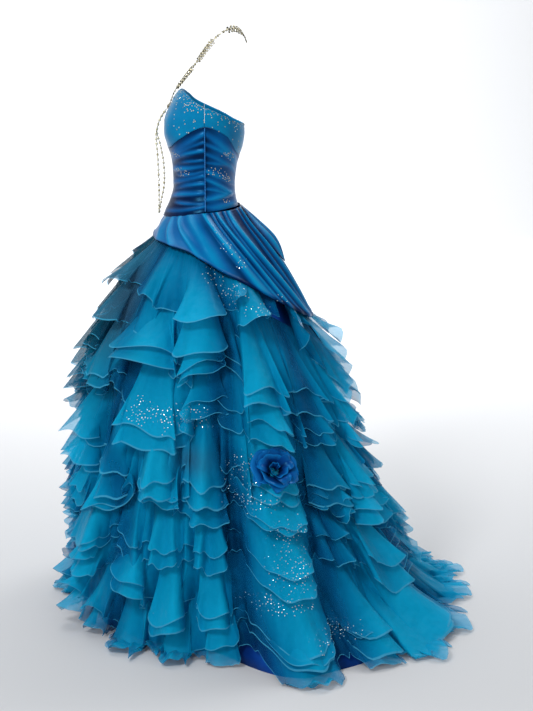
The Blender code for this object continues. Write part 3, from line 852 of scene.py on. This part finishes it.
# Painted shade in the slight folds' valleys and painted light on their ridges.
def underskirt_painted_shade(first, last, u, v):
    return 0.5 - 0.4 * np.cos(2 * math.pi * between(first, last, u) / FOLD_ANGLE)


for panel, gores, first, last, width in UNDERSKIRT_PANELS:
    marks = {"ridge": partial(underskirt_painted_shade, first, last)}
    skirt = cloth(f"underskirt_{panel}_satin", 120, 48, partial(underskirt_place, first, last), marks=marks)
    dressed(skirt, under_satin, "satin", *["underskirt_" + gore for gore in gores])
    walled(skirt, UNDERSKIRT_WALL)

# Overskirt: one layer of duchess satin swept from the front waist round to a long back, in two panels.
# Its folds start together under the side seam and fan out to the hem, which is turned and rolls slightly.
OVERSKIRT_HEM = (
    # angle, height of the hem, how far it stands off the underskirt
    (0, -0.120, 0.020),
    (40, -0.126, 0.024),
    (75, -0.142, 0.031),
    (105, -0.205, 0.036),
    (135, -0.280, 0.038),
    (160, -0.330, 0.038),
    (180, -0.345, 0.038),
)
OVERSKIRT_FOLDS = (
    # angle at the waist, angle at the hem, height, width at the waist, width at the hem
    (74, 100, 0.45, 5.0, 9.0),
    (88, 124, 1.15, 2.6, 6.5),
    (95, 134, 0.55, 1.4, 2.4),
    (101, 141, 1.10, 2.0, 3.2),
    (109, 149, 0.60, 1.8, 2.6),
    (116, 158, 1.20, 3.4, 5.0),
    (133, 167, 0.70, 2.4, 2.8),
    (150, 175, 1.00, 4.0, 4.6),
    (28, 42, 0.45, 7.0, 9.0),
    (46, 63, 0.55, 2.6, 4.5),
    (60, 84, 0.60, 2.2, 4.0),
)
OVERSKIRT_SEQUINS = (
    # angle, height, half angle, half height
    (96, -0.100, 5, 0.012),
    (104, -0.135, 6, 0.018),
    (112, -0.170, 6, 0.016),
    (134, -0.262, 4, 0.016),
)


def overskirt_fold(side, v):
    """How far the fanned folds are raised, about 0 to 1."""
    total = 0.0
    for start, end, strength, narrow, wide in OVERSKIRT_FOLDS:
        middle = start + (end - start) * v**1.3 + 1.6 * np.sin(4 * v + start)
        offset = (side - middle) / (narrow + (wide - narrow) * v)
        total = total + strength * np.exp(-np.where(offset > 0, 0.7, 2.4) * offset**2)
    return np.minimum(total, 1.3)


def overskirt_height(angle, v):
    """Height down the overskirt, from its waist seam to its hem."""
    return between(bodice_edge(angle, 3) - 0.0012, read_off(OVERSKIRT_HEM, 1, folded(angle)), v)


def overskirt_place(first, last, u, v):
    """Points on the overskirt, swept out over the skirt with its folds and its rolled hem."""
    angle = between(first, last, u)
    side = folded(angle)
    stand = read_off(OVERSKIRT_HEM, 2, side)
    height = overskirt_height(angle, v)
    raised = 0.0130 * overskirt_fold(side, v) * np.sin(math.pi * np.clip(0.04 + 0.9 * v, 0, 1)) ** 0.6
    rolled = 0.003 * hump(0.975 - v, 0.030) - 0.004 * hump(1.01 - v, 0.018)
    sag = 0.002 * v * uneven(17, (angle / 90, 1), (v, 1))
    out = 0.0011 + stand * v**0.9 + raised + rolled + sag
    return around(angle, skirt_radius(angle, height) + out, height)


# Painted light on the folds' ridges and over the smooth front, and painted shade in the valleys and along the
# rolled hem.
def overskirt_painted_shade(first, last, u, v):
    side = folded(between(first, last, u))
    quiet = 0.44 * np.clip((92 + 22 * v - side) / 16, 0, 1)
    edge = 0.5 * hump(1 - v, 0.05)
    return 0.08 + quiet - edge + 0.80 * overskirt_fold(side, v) * (1 - 0.6 * quiet)


def overskirt_beads(first, last, u, v):
    angle = between(first, last, u)
    return drifts(OVERSKIRT_SEQUINS, folded(angle), overskirt_height(angle, v)) - 0.2


drape_satin = duchess_satin("duchess_satin_overskirt", "#001044", "#005C9C", "#0690C4", 0.74)
overskirt_sheets = {}
for panel, first, last in (("left", 0.2, 179.8), ("right", 180.2, 359.8)):
    marks = {"ridge": partial(overskirt_painted_shade, first, last), "beading": partial(overskirt_beads, first, last)}
    drape = cloth(f"overskirt_{panel}_satin", 220, 60, partial(overskirt_place, first, last), marks=marks)
    dressed(drape, drape_satin, "satin", "overskirt_" + panel)
    overskirt_sheets["overskirt_" + panel] = drape


# Bustle: a pleated leaf of the same satin, caught into the waist over the centre back.
# Its pleats open as it falls, and its lower edge hangs free of the overskirt.
def bustle_place(u, v):
    """Points on the bustle: narrow at the waist, crowned in its middle and pleated lengthwise."""
    across = 2 * u - 1
    narrow = 0.30 + 0.70 * np.sin(math.pi * (0.15 + 0.68 * v))
    angle = 184 + 24 * across * narrow
    height = -0.053 - 0.140 * v
    crown = np.sin(math.pi * v) * (1 - across**2)
    pleat = 0.0045 * np.cos(3 * math.pi * across) * np.sin(math.pi * v)
    small = 0.0015 * np.cos(7 * math.pi * across + 2 * v) * v
    out = 0.0033 + 0.0350 * v**0.8 + 0.018 * crown + pleat + small
    return around(angle, skirt_radius(angle, height) + out, height)


# Painted light on the pleats' ridges and painted shade in their valleys.
def bustle_painted_shade(u, v):
    return 0.5 + 0.45 * np.cos(3 * math.pi * (2 * u - 1))


bustle = cloth("bustle_satin", 90, 50, bustle_place, marks={"ridge": bustle_painted_shade})
dressed(bustle, drape_satin, "satin", "bustle")
walled(bustle, SATIN_WALL)

# Flounces: eight gathered rings of crisp organza, each two layers with narrow rolled hems.
# Each is sewn on under the one above and caught up along lines down the skirt, so its hem hangs in swags.
Flounce = namedtuple("Flounce", "front left back length waves standoff depth lean broad gap")
FLOUNCES = (
    # height of the seam at the front, the sides and the back, length of cloth, number of waves,
    # how far the hem stands off, depth of the waves, their lean, the broad petal's share, gap at the seam
    Flounce(-0.106, -0.130, -0.300, 0.180, 14, 0.060, 0.025, 0.3, 1.0, 0.0013),
    Flounce(-0.205, -0.240, -0.390, 0.190, 15, 0.060, 0.025, -0.4, 1.0, 0.0011),
    Flounce(-0.320, -0.350, -0.480, 0.200, 16, 0.060, 0.026, 0.3, 1.1, 0.0007),
    Flounce(-0.440, -0.465, -0.575, 0.210, 17, 0.060, 0.026, -0.3, 1.3, 0.0007),
    Flounce(-0.560, -0.585, -0.670, 0.205, 18, 0.060, 0.026, 0.4, 1.8, 0.0012),
    Flounce(-0.675, -0.700, -0.765, 0.205, 19, 0.060, 0.026, -0.3, 2.0, 0.0010),
    Flounce(-0.790, -0.810, -0.860, 0.200, 20, 0.062, 0.026, 0.3, 2.0, 0.0023),
    Flounce(-0.905, -0.920, -0.955, 0.215, 22, 0.066, 0.028, -0.2, 1.8, 0.0034),
)
BROAD_ANGLE, BROAD_WIDTH, PLAIN_WIDTH = 112.0, 17.0, 24
PICK_UP_WIDTH = 6.5
WAVE_COLUMNS, FLOUNCE_ROWS = 42, 18
# How much longer each flounce's broad petal hangs, and the angle from BROAD_ANGLE to its middle.
PETAL_DROPS = (
    (-0.020, 0),
    (0.030, 3),
    (-0.035, -4),
    (0.050, 3),
    (-0.030, -3),
    (0.010, 4),
    (0.045, -2),
    (-0.020, 3),
)
# Each upper layer's share of its flounce's length and flare. The lower layers are all cut the same.
UPPER_LAYERS = (
    (0.60, 1.15),
    (0.84, 1.0),
    (0.90, 1.0),
    (0.82, 1.0),
    (0.92, 1.0),
    (0.84, 1.0),
    (0.90, 1.0),
    (0.78, 1.0),
)
LOWER_LAYER = (1.06, 0.94)
SWAGS = (
    # how many to the round, depth, shift from flounce to flounce, shift from layer to layer
    (2, 0.018, 1.9, 0.4),
    (3, 0.018, 2.7, 0.0),
    (5, 0.020, 1.3, 0.3),
    (8, 0.012, 2.1, 0.5),
)
PICK_UPS = (
    # height, then the angle of each line there
    (-1.12, -150, -104, -66, -22, 14, 50, 104, 125, 166),
    (-0.80, -150, -104, -66, -22, 14, 53, 99, 130, 166),
    (-0.55, -148, -104, -64, -22, 10, 42, 94, 132, 168),
    (-0.35, -146, -100, -62, -20, 16, 52, 97, 134, 170),
    (-0.10, -144, -96, -60, -18, 10, 52, 88, 136, 172),
)
SKIRT_SEQUINS = (
    # angle, height, half angle, half height
    (95, -0.185, 5, 0.030),
    (104, -0.240, 7, 0.026),
    (118, -0.285, 8, 0.022),
    (134, -0.318, 8, 0.020),
    (60, -0.515, 7, 0.028),
    (74, -0.530, 8, 0.026),
    (86, -0.525, 6, 0.034),
    (105, -0.650, 8, 0.034),
    (105, -0.725, 9, 0.022),
    (116, -0.800, 6, 0.034),
    (114, -0.885, 6, 0.045),
    (110, -0.960, 9, 0.018),
    (122, -1.035, 7, 0.022),
    (-60, -0.520, 9, 0.030),
    (-104, -0.700, 9, 0.030),
    (-112, -0.880, 6, 0.045),
    (-100, -0.250, 9, 0.024),
)


def caught(angle, height):
    """How strongly the skirt is caught in there, from 0 to 1."""
    total = 0.0
    for column in range(1, len(PICK_UPS[0])):
        total = total + hump(apart(angle, read_off(PICK_UPS, column, height)), PICK_UP_WIDTH)
    return np.clip(total, 0, 1)


def each_wave(seed, phase, waves, low, high):
    """A value of its own for each wave, which changes smoothly from one crest to the next."""
    table = np.random.RandomState(seed).uniform(low, high, waves)
    along = phase / (2 * math.pi)
    whole = np.floor(along).astype(int)
    part = along - whole
    blend = part * part * (3 - 2 * part)
    return table[whole % waves] * (1 - blend) + table[(whole + 1) % waves] * blend


def crowding(number, beside):
    """How far the gathers are pushed along the seam, in radians, and the waves to a radian there."""
    waves = FLOUNCES[number].waves
    starts = np.random.RandomState(70 + number).uniform(0, 2 * math.pi, 3)
    free = np.clip((np.abs(beside) - 18) / 32, 0, 1)
    free = free * free * (3 - 2 * free)
    pushed, rate = 0.0, waves
    for times, amount, start in zip((5, 7, 9), (0.050, 0.030, 0.017), starts):
        turn = times * np.radians(beside) + start
        pushed = pushed + amount * waves * np.sin(turn)
        rate = rate + free * amount * waves * times * np.cos(turn)
    return free * pushed, rate


def flounce_phase(number, u, v):
    """Where a point lies along the flounce's waves, in radians, with a crest at each full turn."""
    ring = FLOUNCES[number]
    beside = apart(u * 360, BROAD_ANGLE)
    slow = ring.waves * (1 - 1 / ring.broad) * beside * hump(beside, BROAD_WIDTH)
    sway = 0.45 * (1 - np.cos(np.radians(2 * beside))) + 0.30 * np.sin(np.radians(3 * beside))
    loose = 0.70 * uneven(number, (u, 3)) * np.clip(np.abs(beside) / 30, 0, 1)
    pushed = crowding(number, beside)[0]
    return np.radians(ring.waves * beside - slow) + sway + pushed + ring.lean * (v - 1) + loose * v


def under_overskirt(angle, height):
    """How far a flounce may stand off the skirt under the overskirt. Below its hem the flounce opens out."""
    hem, stand = (read_off(OVERSKIRT_HEM, column, folded(angle)) for column in (1, 2))
    top = bodice_edge(angle, 3)
    share = np.clip((top - height) / (top - hem), 0, 1)
    return stand * share**0.9 - 0.0025 + 1.5 * np.clip(hem - height, 0, 1)


def layer_cut(number, layer):
    """The share of the flounce's length and of its flare that a layer has, the upper one being layer 0."""
    return LOWER_LAYER if layer else UPPER_LAYERS[number]


def flounce_face(number, layer, u, v):
    """One layer of one flounce as angle, distance from the middle and height."""
    ring = FLOUNCES[number]
    share, flare = layer_cut(number, layer)
    petal_drop, petal_shift = PETAL_DROPS[number]
    angle = u * 360
    beside = apart(angle, BROAD_ANGLE)
    turn = np.radians(beside)
    phase = flounce_phase(number, u, v)
    rate = crowding(number, beside)[1]
    # The broad petals beside the column are plainer than the rest.
    plain = hump(beside, PLAIN_WIDTH) * min(1.0, 1.3 * (ring.broad - 1))
    even, soft = 1 - 0.7 * plain, 1 - 0.6 * plain

    def own(seed, low, high):
        return each_wave(seed, phase, ring.waves, low, high)

    sides = (ring.left, ring.front, ring.left, ring.back, ring.left)
    seam = smooth((-90, 0, 90, 180, 270), sides, folded(angle))
    swag = 0.0
    for times, deep, by_ring, by_layer in SWAGS:
        swag = swag + deep * np.sin(times * turn + by_ring * number + by_layer * layer)
    drop = own(40 + 5 * number, -0.045, 0.060) * even
    drop = drop + own(41 + 5 * number + layer, -0.010, 0.010)
    drop = drop + petal_drop * hump(beside - petal_shift, 15)
    flat = seam - (ring.length * share + drop * v) * v * 0.97 + swag * even * v
    held = caught(angle, flat)
    dip = own(90 + 3 * number, -0.020, 0.020) * (1 - plain) + 0.016 * plain
    lift = 0.036 + 0.034 * uneven(number + 5, (u, 3))
    height = flat - dip * np.cos(phase) * v**2 + lift * held * v**1.5
    # Each wave has its own size, a second and a third wave on it, and a frill along the hem.
    strong = 1 + 0.20 * np.sin(np.radians(beside + 57 * ring.waves)) + 0.14 * np.sin(4 * turn)
    size = strong * own(20 + number, 0.55, 1.30) * (1 - 0.3 * held)
    second = own(30 + 2 * number, -0.50, 0.50) * soft
    small = own(110 + number, 0.20, 0.80) * soft
    deep = ring.depth * np.clip(ring.waves / rate, 0.7, 1.4) ** 0.7 * v**1.5
    third = small * np.cos(3 * phase + 2 * number)
    wave = deep * (size * np.cos(phase) + second * np.cos(2 * phase + number) + third)
    frill = deep * 0.5 * small * v * np.sin(5 * phase + number + 0.5 * layer)
    uneven_hem = np.sin(3 * phase + number) + np.sin(4 * phase + 2 * number + layer)
    height = height + 0.012 * small * v**2 * uneven_hem
    height = height + 0.0035 * v**4 * np.sin(7 * phase + 2 * number + 2 * layer)
    gathers = 0.0016 * np.sin(9 * phase + number) * np.clip(v * 8, 0, 1) * (1 - v) ** 2
    # Cloth that would go through the floor lies on it instead, crumpled and pushed outwards.
    laid = FLOOR + 0.003
    below = np.clip(laid - height, 0, 0.030 + 0.016 * (1 - np.cos(np.radians(angle))))
    crumple = 1 + np.cos(2 * phase + number) * np.cos(5 * phase)
    height = np.maximum(height, laid + 0.003 * (2 - layer) + 0.011 * np.clip(below / 0.010, 0, 1) * crumple)
    curl = own(60 + 3 * number, 0.30, 1.60) * even
    over = 0.55 * v**1.5 * np.sin(phase) + curl * v**2 * np.sin(2 * phase)
    over = over + 0.45 * small * v**2 * np.sin(4 * phase + number)
    spread = np.degrees(over) / rate * (1 - 0.7 * np.clip(below / 0.015, 0, 1))
    stand = ring.standoff * flare * (1 - 0.50 * held)
    crimp = 0.0035 * v**4 * np.sin(7 * phase + 3 * number + layer)
    out = ring.gap + stand * v**1.2 + wave + frill + crimp + gathers + 0.85 * below
    if number == 0:
        out = np.minimum(out, under_overskirt(angle + spread, height))
    out = np.maximum(out, ring.gap + 0.004 * v * (3 - layer))
    return angle + spread, skirt_radius(angle, height) + out, height


def tinted(tree, factor, colour, code):
    """A colour turned towards another one as far as the factor says."""
    wires = {"Factor": factor, 6: colour, 7: linear(code)}
    return add(tree, "ShaderNodeMix", wires, data_type="RGBA").outputs[2]


def organza(name):
    """Organza: sheer plain-woven polyester. Its valleys are deeper and bluer, partly because more layers lie
    there and partly as painted shade; its crests are painted light.
    """
    tree, place, finished = new_material(name)
    chart = add(tree, "ShaderNodeUVMap", uv_map="cloth").outputs["UV"]
    # Soft streaks run down the cloth from its gathers, about 10 mm apart. In the colour they are painted light
    # and shade of the gathers; they also bump the surface.
    fine = add(tree, "ShaderNodeMapping", {"Vector": chart, "Scale": (230.0, 2.6, 1.0)}).outputs["Vector"]
    streaks = noise(tree, fine, 1.0, 3.0)
    blotches = maths(tree, "MULTIPLY", noise(tree, place, 6.0, 3.0), 0.22)
    drawn = maths(tree, "MULTIPLY_ADD", streaks, 0.16, blotches)
    # The ridge mark adds painted light on the crests and painted shade in the valleys, at the seam and where
    # the cloth is caught in.
    mixed = maths(tree, "MULTIPLY_ADD", marked(tree, "ridge"), 0.68, drawn)
    tone = tones(tree, mixed, [(0.12, "#001E44"), (0.34, "#005C90"), (0.56, "#0088BA"), (0.84, "#0AAEDC")])
    # Painted shade: cloth on the front's shadowed side is painted a darker blue-green, and one drift beside it
    # a smoky mauve, standing in for the shade seen through the sheer cloth.
    tone = tinted(tree, marked(tree, "painted_front_shade"), tone, "#073C4C")
    tone = tinted(tree, marked(tree, "painted_smoky_shade"), tone, "#3E4A5E")
    # The hem is rolled 2 mm wide, the last hundredth of the flounce.
    down = add(tree, "ShaderNodeSeparateXYZ", {"Vector": chart}).outputs["Y"]
    hem = add(tree, "ShaderNodeMapRange", {"Value": down, "From Min": 0.986, "From Max": 0.991})
    # Threads are 0.15 mm apart. They are drawn at 1.2 mm, the finest that shows.
    spaced = {"Vector": place, "Scale": 260.0, "Distortion": 0.8}
    weave = add(tree, "ShaderNodeTexWave", spaced, bands_direction="Z").outputs["Fac"]
    # Loose petals rumple softly, a few centimetres from one dent to the next.
    rumpled = bump(tree, noise(tree, place, 19.0, 2.5), 0.55, 0.022)
    creased = bump(tree, streaks, 0.40, 0.005, rumpled)
    return finished({
        "Base Color": tinted(tree, hem.outputs["Result"], tone, "#45AAD2"),
        "Normal": bump(tree, weave, 0.04, 0.0003, creased),
        "Roughness": 0.50,
        "Specular IOR Level": 0.20,
        "Specular Tint": linear("#4CC4F0"),
        "Sheen Weight": 0.14,
        "Sheen Roughness": 0.35,
        "Sheen Tint": linear("#28B0E8"),
        "Alpha": 0.66,
    })


def flounce_place(number, layer, u, v):
    return around(*flounce_face(number, layer, u, v))


def flounce_painted_shade(number, layer, u, v):
    """Painted light and shade: crests are painted light, and the cloth is painted darker where it is caught
    in, at its seam and in the lower layer.
    """
    angle, radius, height = flounce_face(number, layer, u, v)
    ring = FLOUNCES[number]
    out = radius - skirt_radius(u * 360, height) - ring.standoff * layer_cut(number, layer)[1] * v**1.2
    crest = np.clip(0.5 + 0.40 * out / (ring.depth * v**1.5 + 0.002), 0, 1)
    lit = 0.33 + 0.70 * (crest * v + 0.45 * (1 - v)) - 0.34 * caught(angle, height)
    return lit * (0.50 + 0.50 * np.minimum(1, 1.6 * v)) - 0.07 * layer


# Painted shade on the front's shadowed side, strongest on the upper flounces.
def flounce_painted_front_shade(number, layer, u, v):
    angle, _, height = flounce_face(number, layer, u, v)
    return 0.90 * hump(apart(angle, 2), 36) * np.clip((height + 0.66) / 0.28, 0, 1)


# Painted shade, tinted smoky mauve, in two drifts.
def flounce_painted_smoky_shade(number, layer, u, v):
    angle, _, height = flounce_face(number, layer, u, v)
    high = drifts([(37, -0.26, 7, 0.13)], angle, height)
    return 0.75 * high + 0.45 * drifts([(84, -0.63, 7, 0.03)], angle, height)


def flounce_beads(number, layer, u, v):
    angle, _, height = flounce_face(number, layer, u, v)
    return np.where(v > 0.28, drifts(SKIRT_SEQUINS, angle, height) - 0.12, 0.0)


FLOUNCE_MARKS = {
    "ridge": flounce_painted_shade,
    "painted_front_shade": flounce_painted_front_shade,
    "painted_smoky_shade": flounce_painted_smoky_shade,
    "beading": flounce_beads,
}
cyan_organza = organza("cyan_organza")
flounce_sheets = {}
for number, ring in enumerate(FLOUNCES):
    for layer in (0, 1):
        marks = {mark: partial(number_at, number, layer) for mark, number_at in FLOUNCE_MARKS.items()}
        place = partial(flounce_place, number, layer)
        name = f"flounce_{number + 1}_layer_{layer + 1}"
        made = cloth(name, WAVE_COLUMNS * ring.waves, FLOUNCE_ROWS, place, closed=True, marks=marks)
        dressed(made, cyan_organza, "organza", f"flounce_{number + 1}")
        length = ring.length * layer_cut(number, layer)[0]
        flounce_sheets[name] = made

# Rosette: a rose of duchess satin at the side of the skirt, sewn to the fourth flounce.
# A bias strip is rolled for its heart, and five folded petals are sewn round it, with three small ones inside.
ROSETTE_PLACE, ROSETTE_TURN, ROSETTE_SIZE = (0.3943, 0.1514, -0.6540), (0.8944, 0.0, 1.9373), 1.14
rosette_turn = np.array(Euler(ROSETTE_TURN).to_matrix())


def on_rosette(points):
    """Points drawn flat, with +Z out from the skirt, put where the rosette is sewn."""
    sized = ROSETTE_SIZE * np.asarray(points) + (0.006, 0, 0)
    return sized @ rosette_turn.T + np.array(ROSETTE_PLACE)


def heart_place(u, v):
    """The rolled strip: tight and upright in the middle, opening outwards, with a curled edge."""
    spiral = 2 * math.pi * 2.6 * u
    base = 0.0035 + 0.0215 * u**0.85
    lean = np.radians(4 + 46 * u) + 0.5 * u * v**2
    width = 0.022 + 0.010 * u
    pinch = 0.0030 * u * np.sin(3 * spiral + 0.6) + 0.0014 * np.sin(7 * spiral)
    run = base + v * width * np.sin(lean) + pinch * v
    rise = 0.005 + v * width * np.cos(lean) + 0.0030 * u * np.sin(2.5 * spiral) * v
    return on_rosette(np.stack([run * np.cos(spiral), run * np.sin(spiral), rise], axis=-1))


# Painted shade deep in the rolled heart, lighter towards its open edge.
def heart_painted_shade(u, v):
    return 0.15 + 0.85 * v**1.5


rose_satin = duchess_satin("duchess_satin_rose", "#010D34", "#053C84", "#0A6CB4", 0.75)
heart = cloth("rosette_heart", 260, 10, heart_place, marks={"ridge": heart_painted_shade})
rosette_pieces = [(heart, (0.62, 0.032))]
PETALS = (
    # direction, length, half width, lift, roll
    (62, 0.046, 0.024, 0.012, 0.8),
    (128, 0.043, 0.023, 0.010, 1.0),
    (196, 0.044, 0.022, 0.008, 0.7),
    (262, 0.041, 0.022, 0.010, 0.9),
    (330, 0.045, 0.024, 0.012, 1.0),
    (18, 0.036, 0.017, 0.017, 1.1),
    (160, 0.034, 0.016, 0.016, 1.0),
    (292, 0.034, 0.016, 0.017, 1.2),
)


def petal_place(direction, length, half, lift, roll, index, u, v):
    """One petal: narrow at its foot, cupped, rounded off and rolled back at its edge."""
    across = 2 * u - 1
    round_off = np.sqrt(np.clip(1 - (np.clip(v - 0.45, 0, 1) / 0.56) ** 2, 0, 1))
    waist = 0.35 + 0.65 * np.sin(math.pi * np.clip(0.15 + 0.6 * v, 0, 1))
    side = across * half * waist * (0.35 + 0.65 * round_off)
    run = 0.010 + length * v * (1 - 0.10 * across**2)
    cup = lift * (0.35 + 1.1 * np.sin(math.pi * 0.8 * v)) + 0.006 * across**2 * v
    back = -0.010 * roll * np.clip(v - 0.75, 0, 1) ** 1.5 * 4
    crimp = 0.0016 * v * np.sin(5 * across + 2 * index)
    turn = math.radians(direction)
    x = run * math.cos(turn) - side * math.sin(turn)
    y = run * math.sin(turn) + side * math.cos(turn)
    return on_rosette(np.stack([x, y, 0.002 + cup + back + crimp], axis=-1))


# Painted shade at the petal's foot and down its middle, lighter towards its tip.
def petal_painted_shade(u, v):
    return 0.25 + 0.75 * v - 0.35 * hump(u - 0.5, 0.12) * (1 - v)


for index, (direction, length, half, lift, roll) in enumerate(PETALS):
    place = partial(petal_place, direction, length, half, lift, roll, index)
    petal = cloth(f"rosette_petal_{index + 1}", 24, 16, place, marks={"ridge": petal_painted_shade})
    rosette_pieces.append((petal, (2.4 * half, 1.4 * length)))
for piece, flat in rosette_pieces:
    dressed(piece, rose_satin, "satin", "rosette")
    walled(piece, PETAL_WALL)

# Skirt sequins: cupped clear sequins 3 mm across, each sewn through its middle, in drifts over the skirt.
# They lie along the overskirt's folds, over the side swags and down the column below the rosette.
# The clear sequins' pale blue to near-white cells are painted reflections and glints.
clear_sequin = finish(
    "clear_sequin",
    "Voronoi",
    260.0,
    [(0.15, "#7FC4E0"), (0.5, "#DCEFF2"), (0.85, "#FFFBF0")],
    {"Metallic": 0.40, "Roughness": 0.14, "Coat Weight": 0.8},
)
sequin_rim = [(math.cos(t), math.sin(t), 0.22) for t in np.arange(10) * math.pi / 5]
sequin = shaped("sequin", [*sequin_rim, (0, 0, 0.05)], [(i, (i + 1) % 10, 10) for i in range(10)])
sequin.data.attributes.new("setting", "BOOLEAN", "FACE")
sequin_kind = dict(Bead=sequin, Smallest=0.0011, Largest=0.0017, Tip=0.35, Material=clear_sequin)
sequin_kind |= dict(Crowd=26000.0, Apart=0.0060, Metal=silver_setting)
for index, (name, sheet) in enumerate({**overskirt_sheets, **flounce_sheets}.items()):
    sequins = grown(name + "_sequins", sheet, beading, Seed=31 + index, **sequin_kind)
    if len(sequins.data.polygons):
        dressed(sequins, None, "jewels")
    else:
        bpy.data.objects.remove(sequins)
for drape in overskirt_sheets.values():
    walled(drape, SATIN_WALL)
for pattern in (stone, bead, sequin):
    bpy.data.objects.remove(pattern)

# Stage: a pale plaster sweep under soft studio light, flat under the gown and curved up far behind it.
SWEEP_NEAR, SWEEP_START, SWEEP_RADIUS, SWEEP_TOP, SWEEP_HALF = 16.0, -7.5, 3.0, 7.0, 18.0
stage_profile = [(SWEEP_NEAR, FLOOR), (SWEEP_START, FLOOR)]
for turn in np.linspace(0.1, math.pi / 2, 12):
    x = SWEEP_START - SWEEP_RADIUS * math.sin(turn)
    stage_profile.append((x, FLOOR + SWEEP_RADIUS * (1 - math.cos(turn))))
stage_profile.append((SWEEP_START - SWEEP_RADIUS, SWEEP_TOP))
sweep_points = [(x, y, z) for x, z in stage_profile for y in (-SWEEP_HALF, SWEEP_HALF)]
sweep_faces = [(2 * i, 2 * i + 1, 2 * i + 3, 2 * i + 2) for i in range(len(stage_profile) - 1)]
sweep = shaped("sweep", sweep_points, sweep_faces)
sweep.data.shade_smooth()
plaster = bpy.data.materials.new("painted_plaster")
plaster.use_nodes = True
plaster.node_tree.nodes["Principled BSDF"].inputs["Base Color"].default_value = linear("#D9DADC")
plaster.node_tree.nodes["Principled BSDF"].inputs["Roughness"].default_value = 0.9
sweep.data.materials.append(plaster)

GOWN, BACKDROP = (0, 0.05, -0.35), (-9.5, 0.0, -1.0)
LIGHTS = (
    # name, place, what it is aimed at, size, power
    ("key", (2.8, -1.5, 2.1), GOWN, 0.9, 84.0),
    ("fill", (3.2, 2.4, 1.0), GOWN, 2.2, 10.0),
    ("back", (-1.4, 1.6, 2.6), GOWN, 1.6, 40.0),
    ("top", (-0.6, -1.2, 3.0), GOWN, 2.0, 34.0),
    ("backdrop", (-4.0, 0.0, 4.0), BACKDROP, 3.0, 620.0),
)
for name, place, aimed_at, size, power in LIGHTS:
    lamp = bpy.data.lights.new(name, "AREA")
    lamp.shape = "DISK"
    lamp.size = size
    lamp.energy = power
    held = linked(name, lamp)
    held.location = place
    aim = Vector(aimed_at) - Vector(place)
    held.rotation_euler = aim.to_track_quat("-Z", "Y").to_euler()
world = bpy.data.worlds.new("studio")
world.use_nodes = True
world.node_tree.nodes["Background"].inputs["Color"].default_value = linear("#EAEEF2")
world.node_tree.nodes["Background"].inputs["Strength"].default_value = 0.36
bpy.context.scene.world = world
bpy.context.scene.view_settings.view_transform = "Standard"

# Camera: 3.6 m to the wearer's left at chest height, turned down to the skirt and a little towards the train.
TURNED_DOWN, TURNED_BACK = 12.23, 2.52
seen = bpy.data.cameras.new("seen")
seen.sensor_width = 36.0
seen.lens = 70.44
viewer = linked("seen", seen)
viewer.location = (3.6, 0.0, 0.33)
viewer.rotation_euler = (math.radians(90 - TURNED_DOWN), 0, math.radians(90 - TURNED_BACK))
bpy.context.scene.camera = viewer
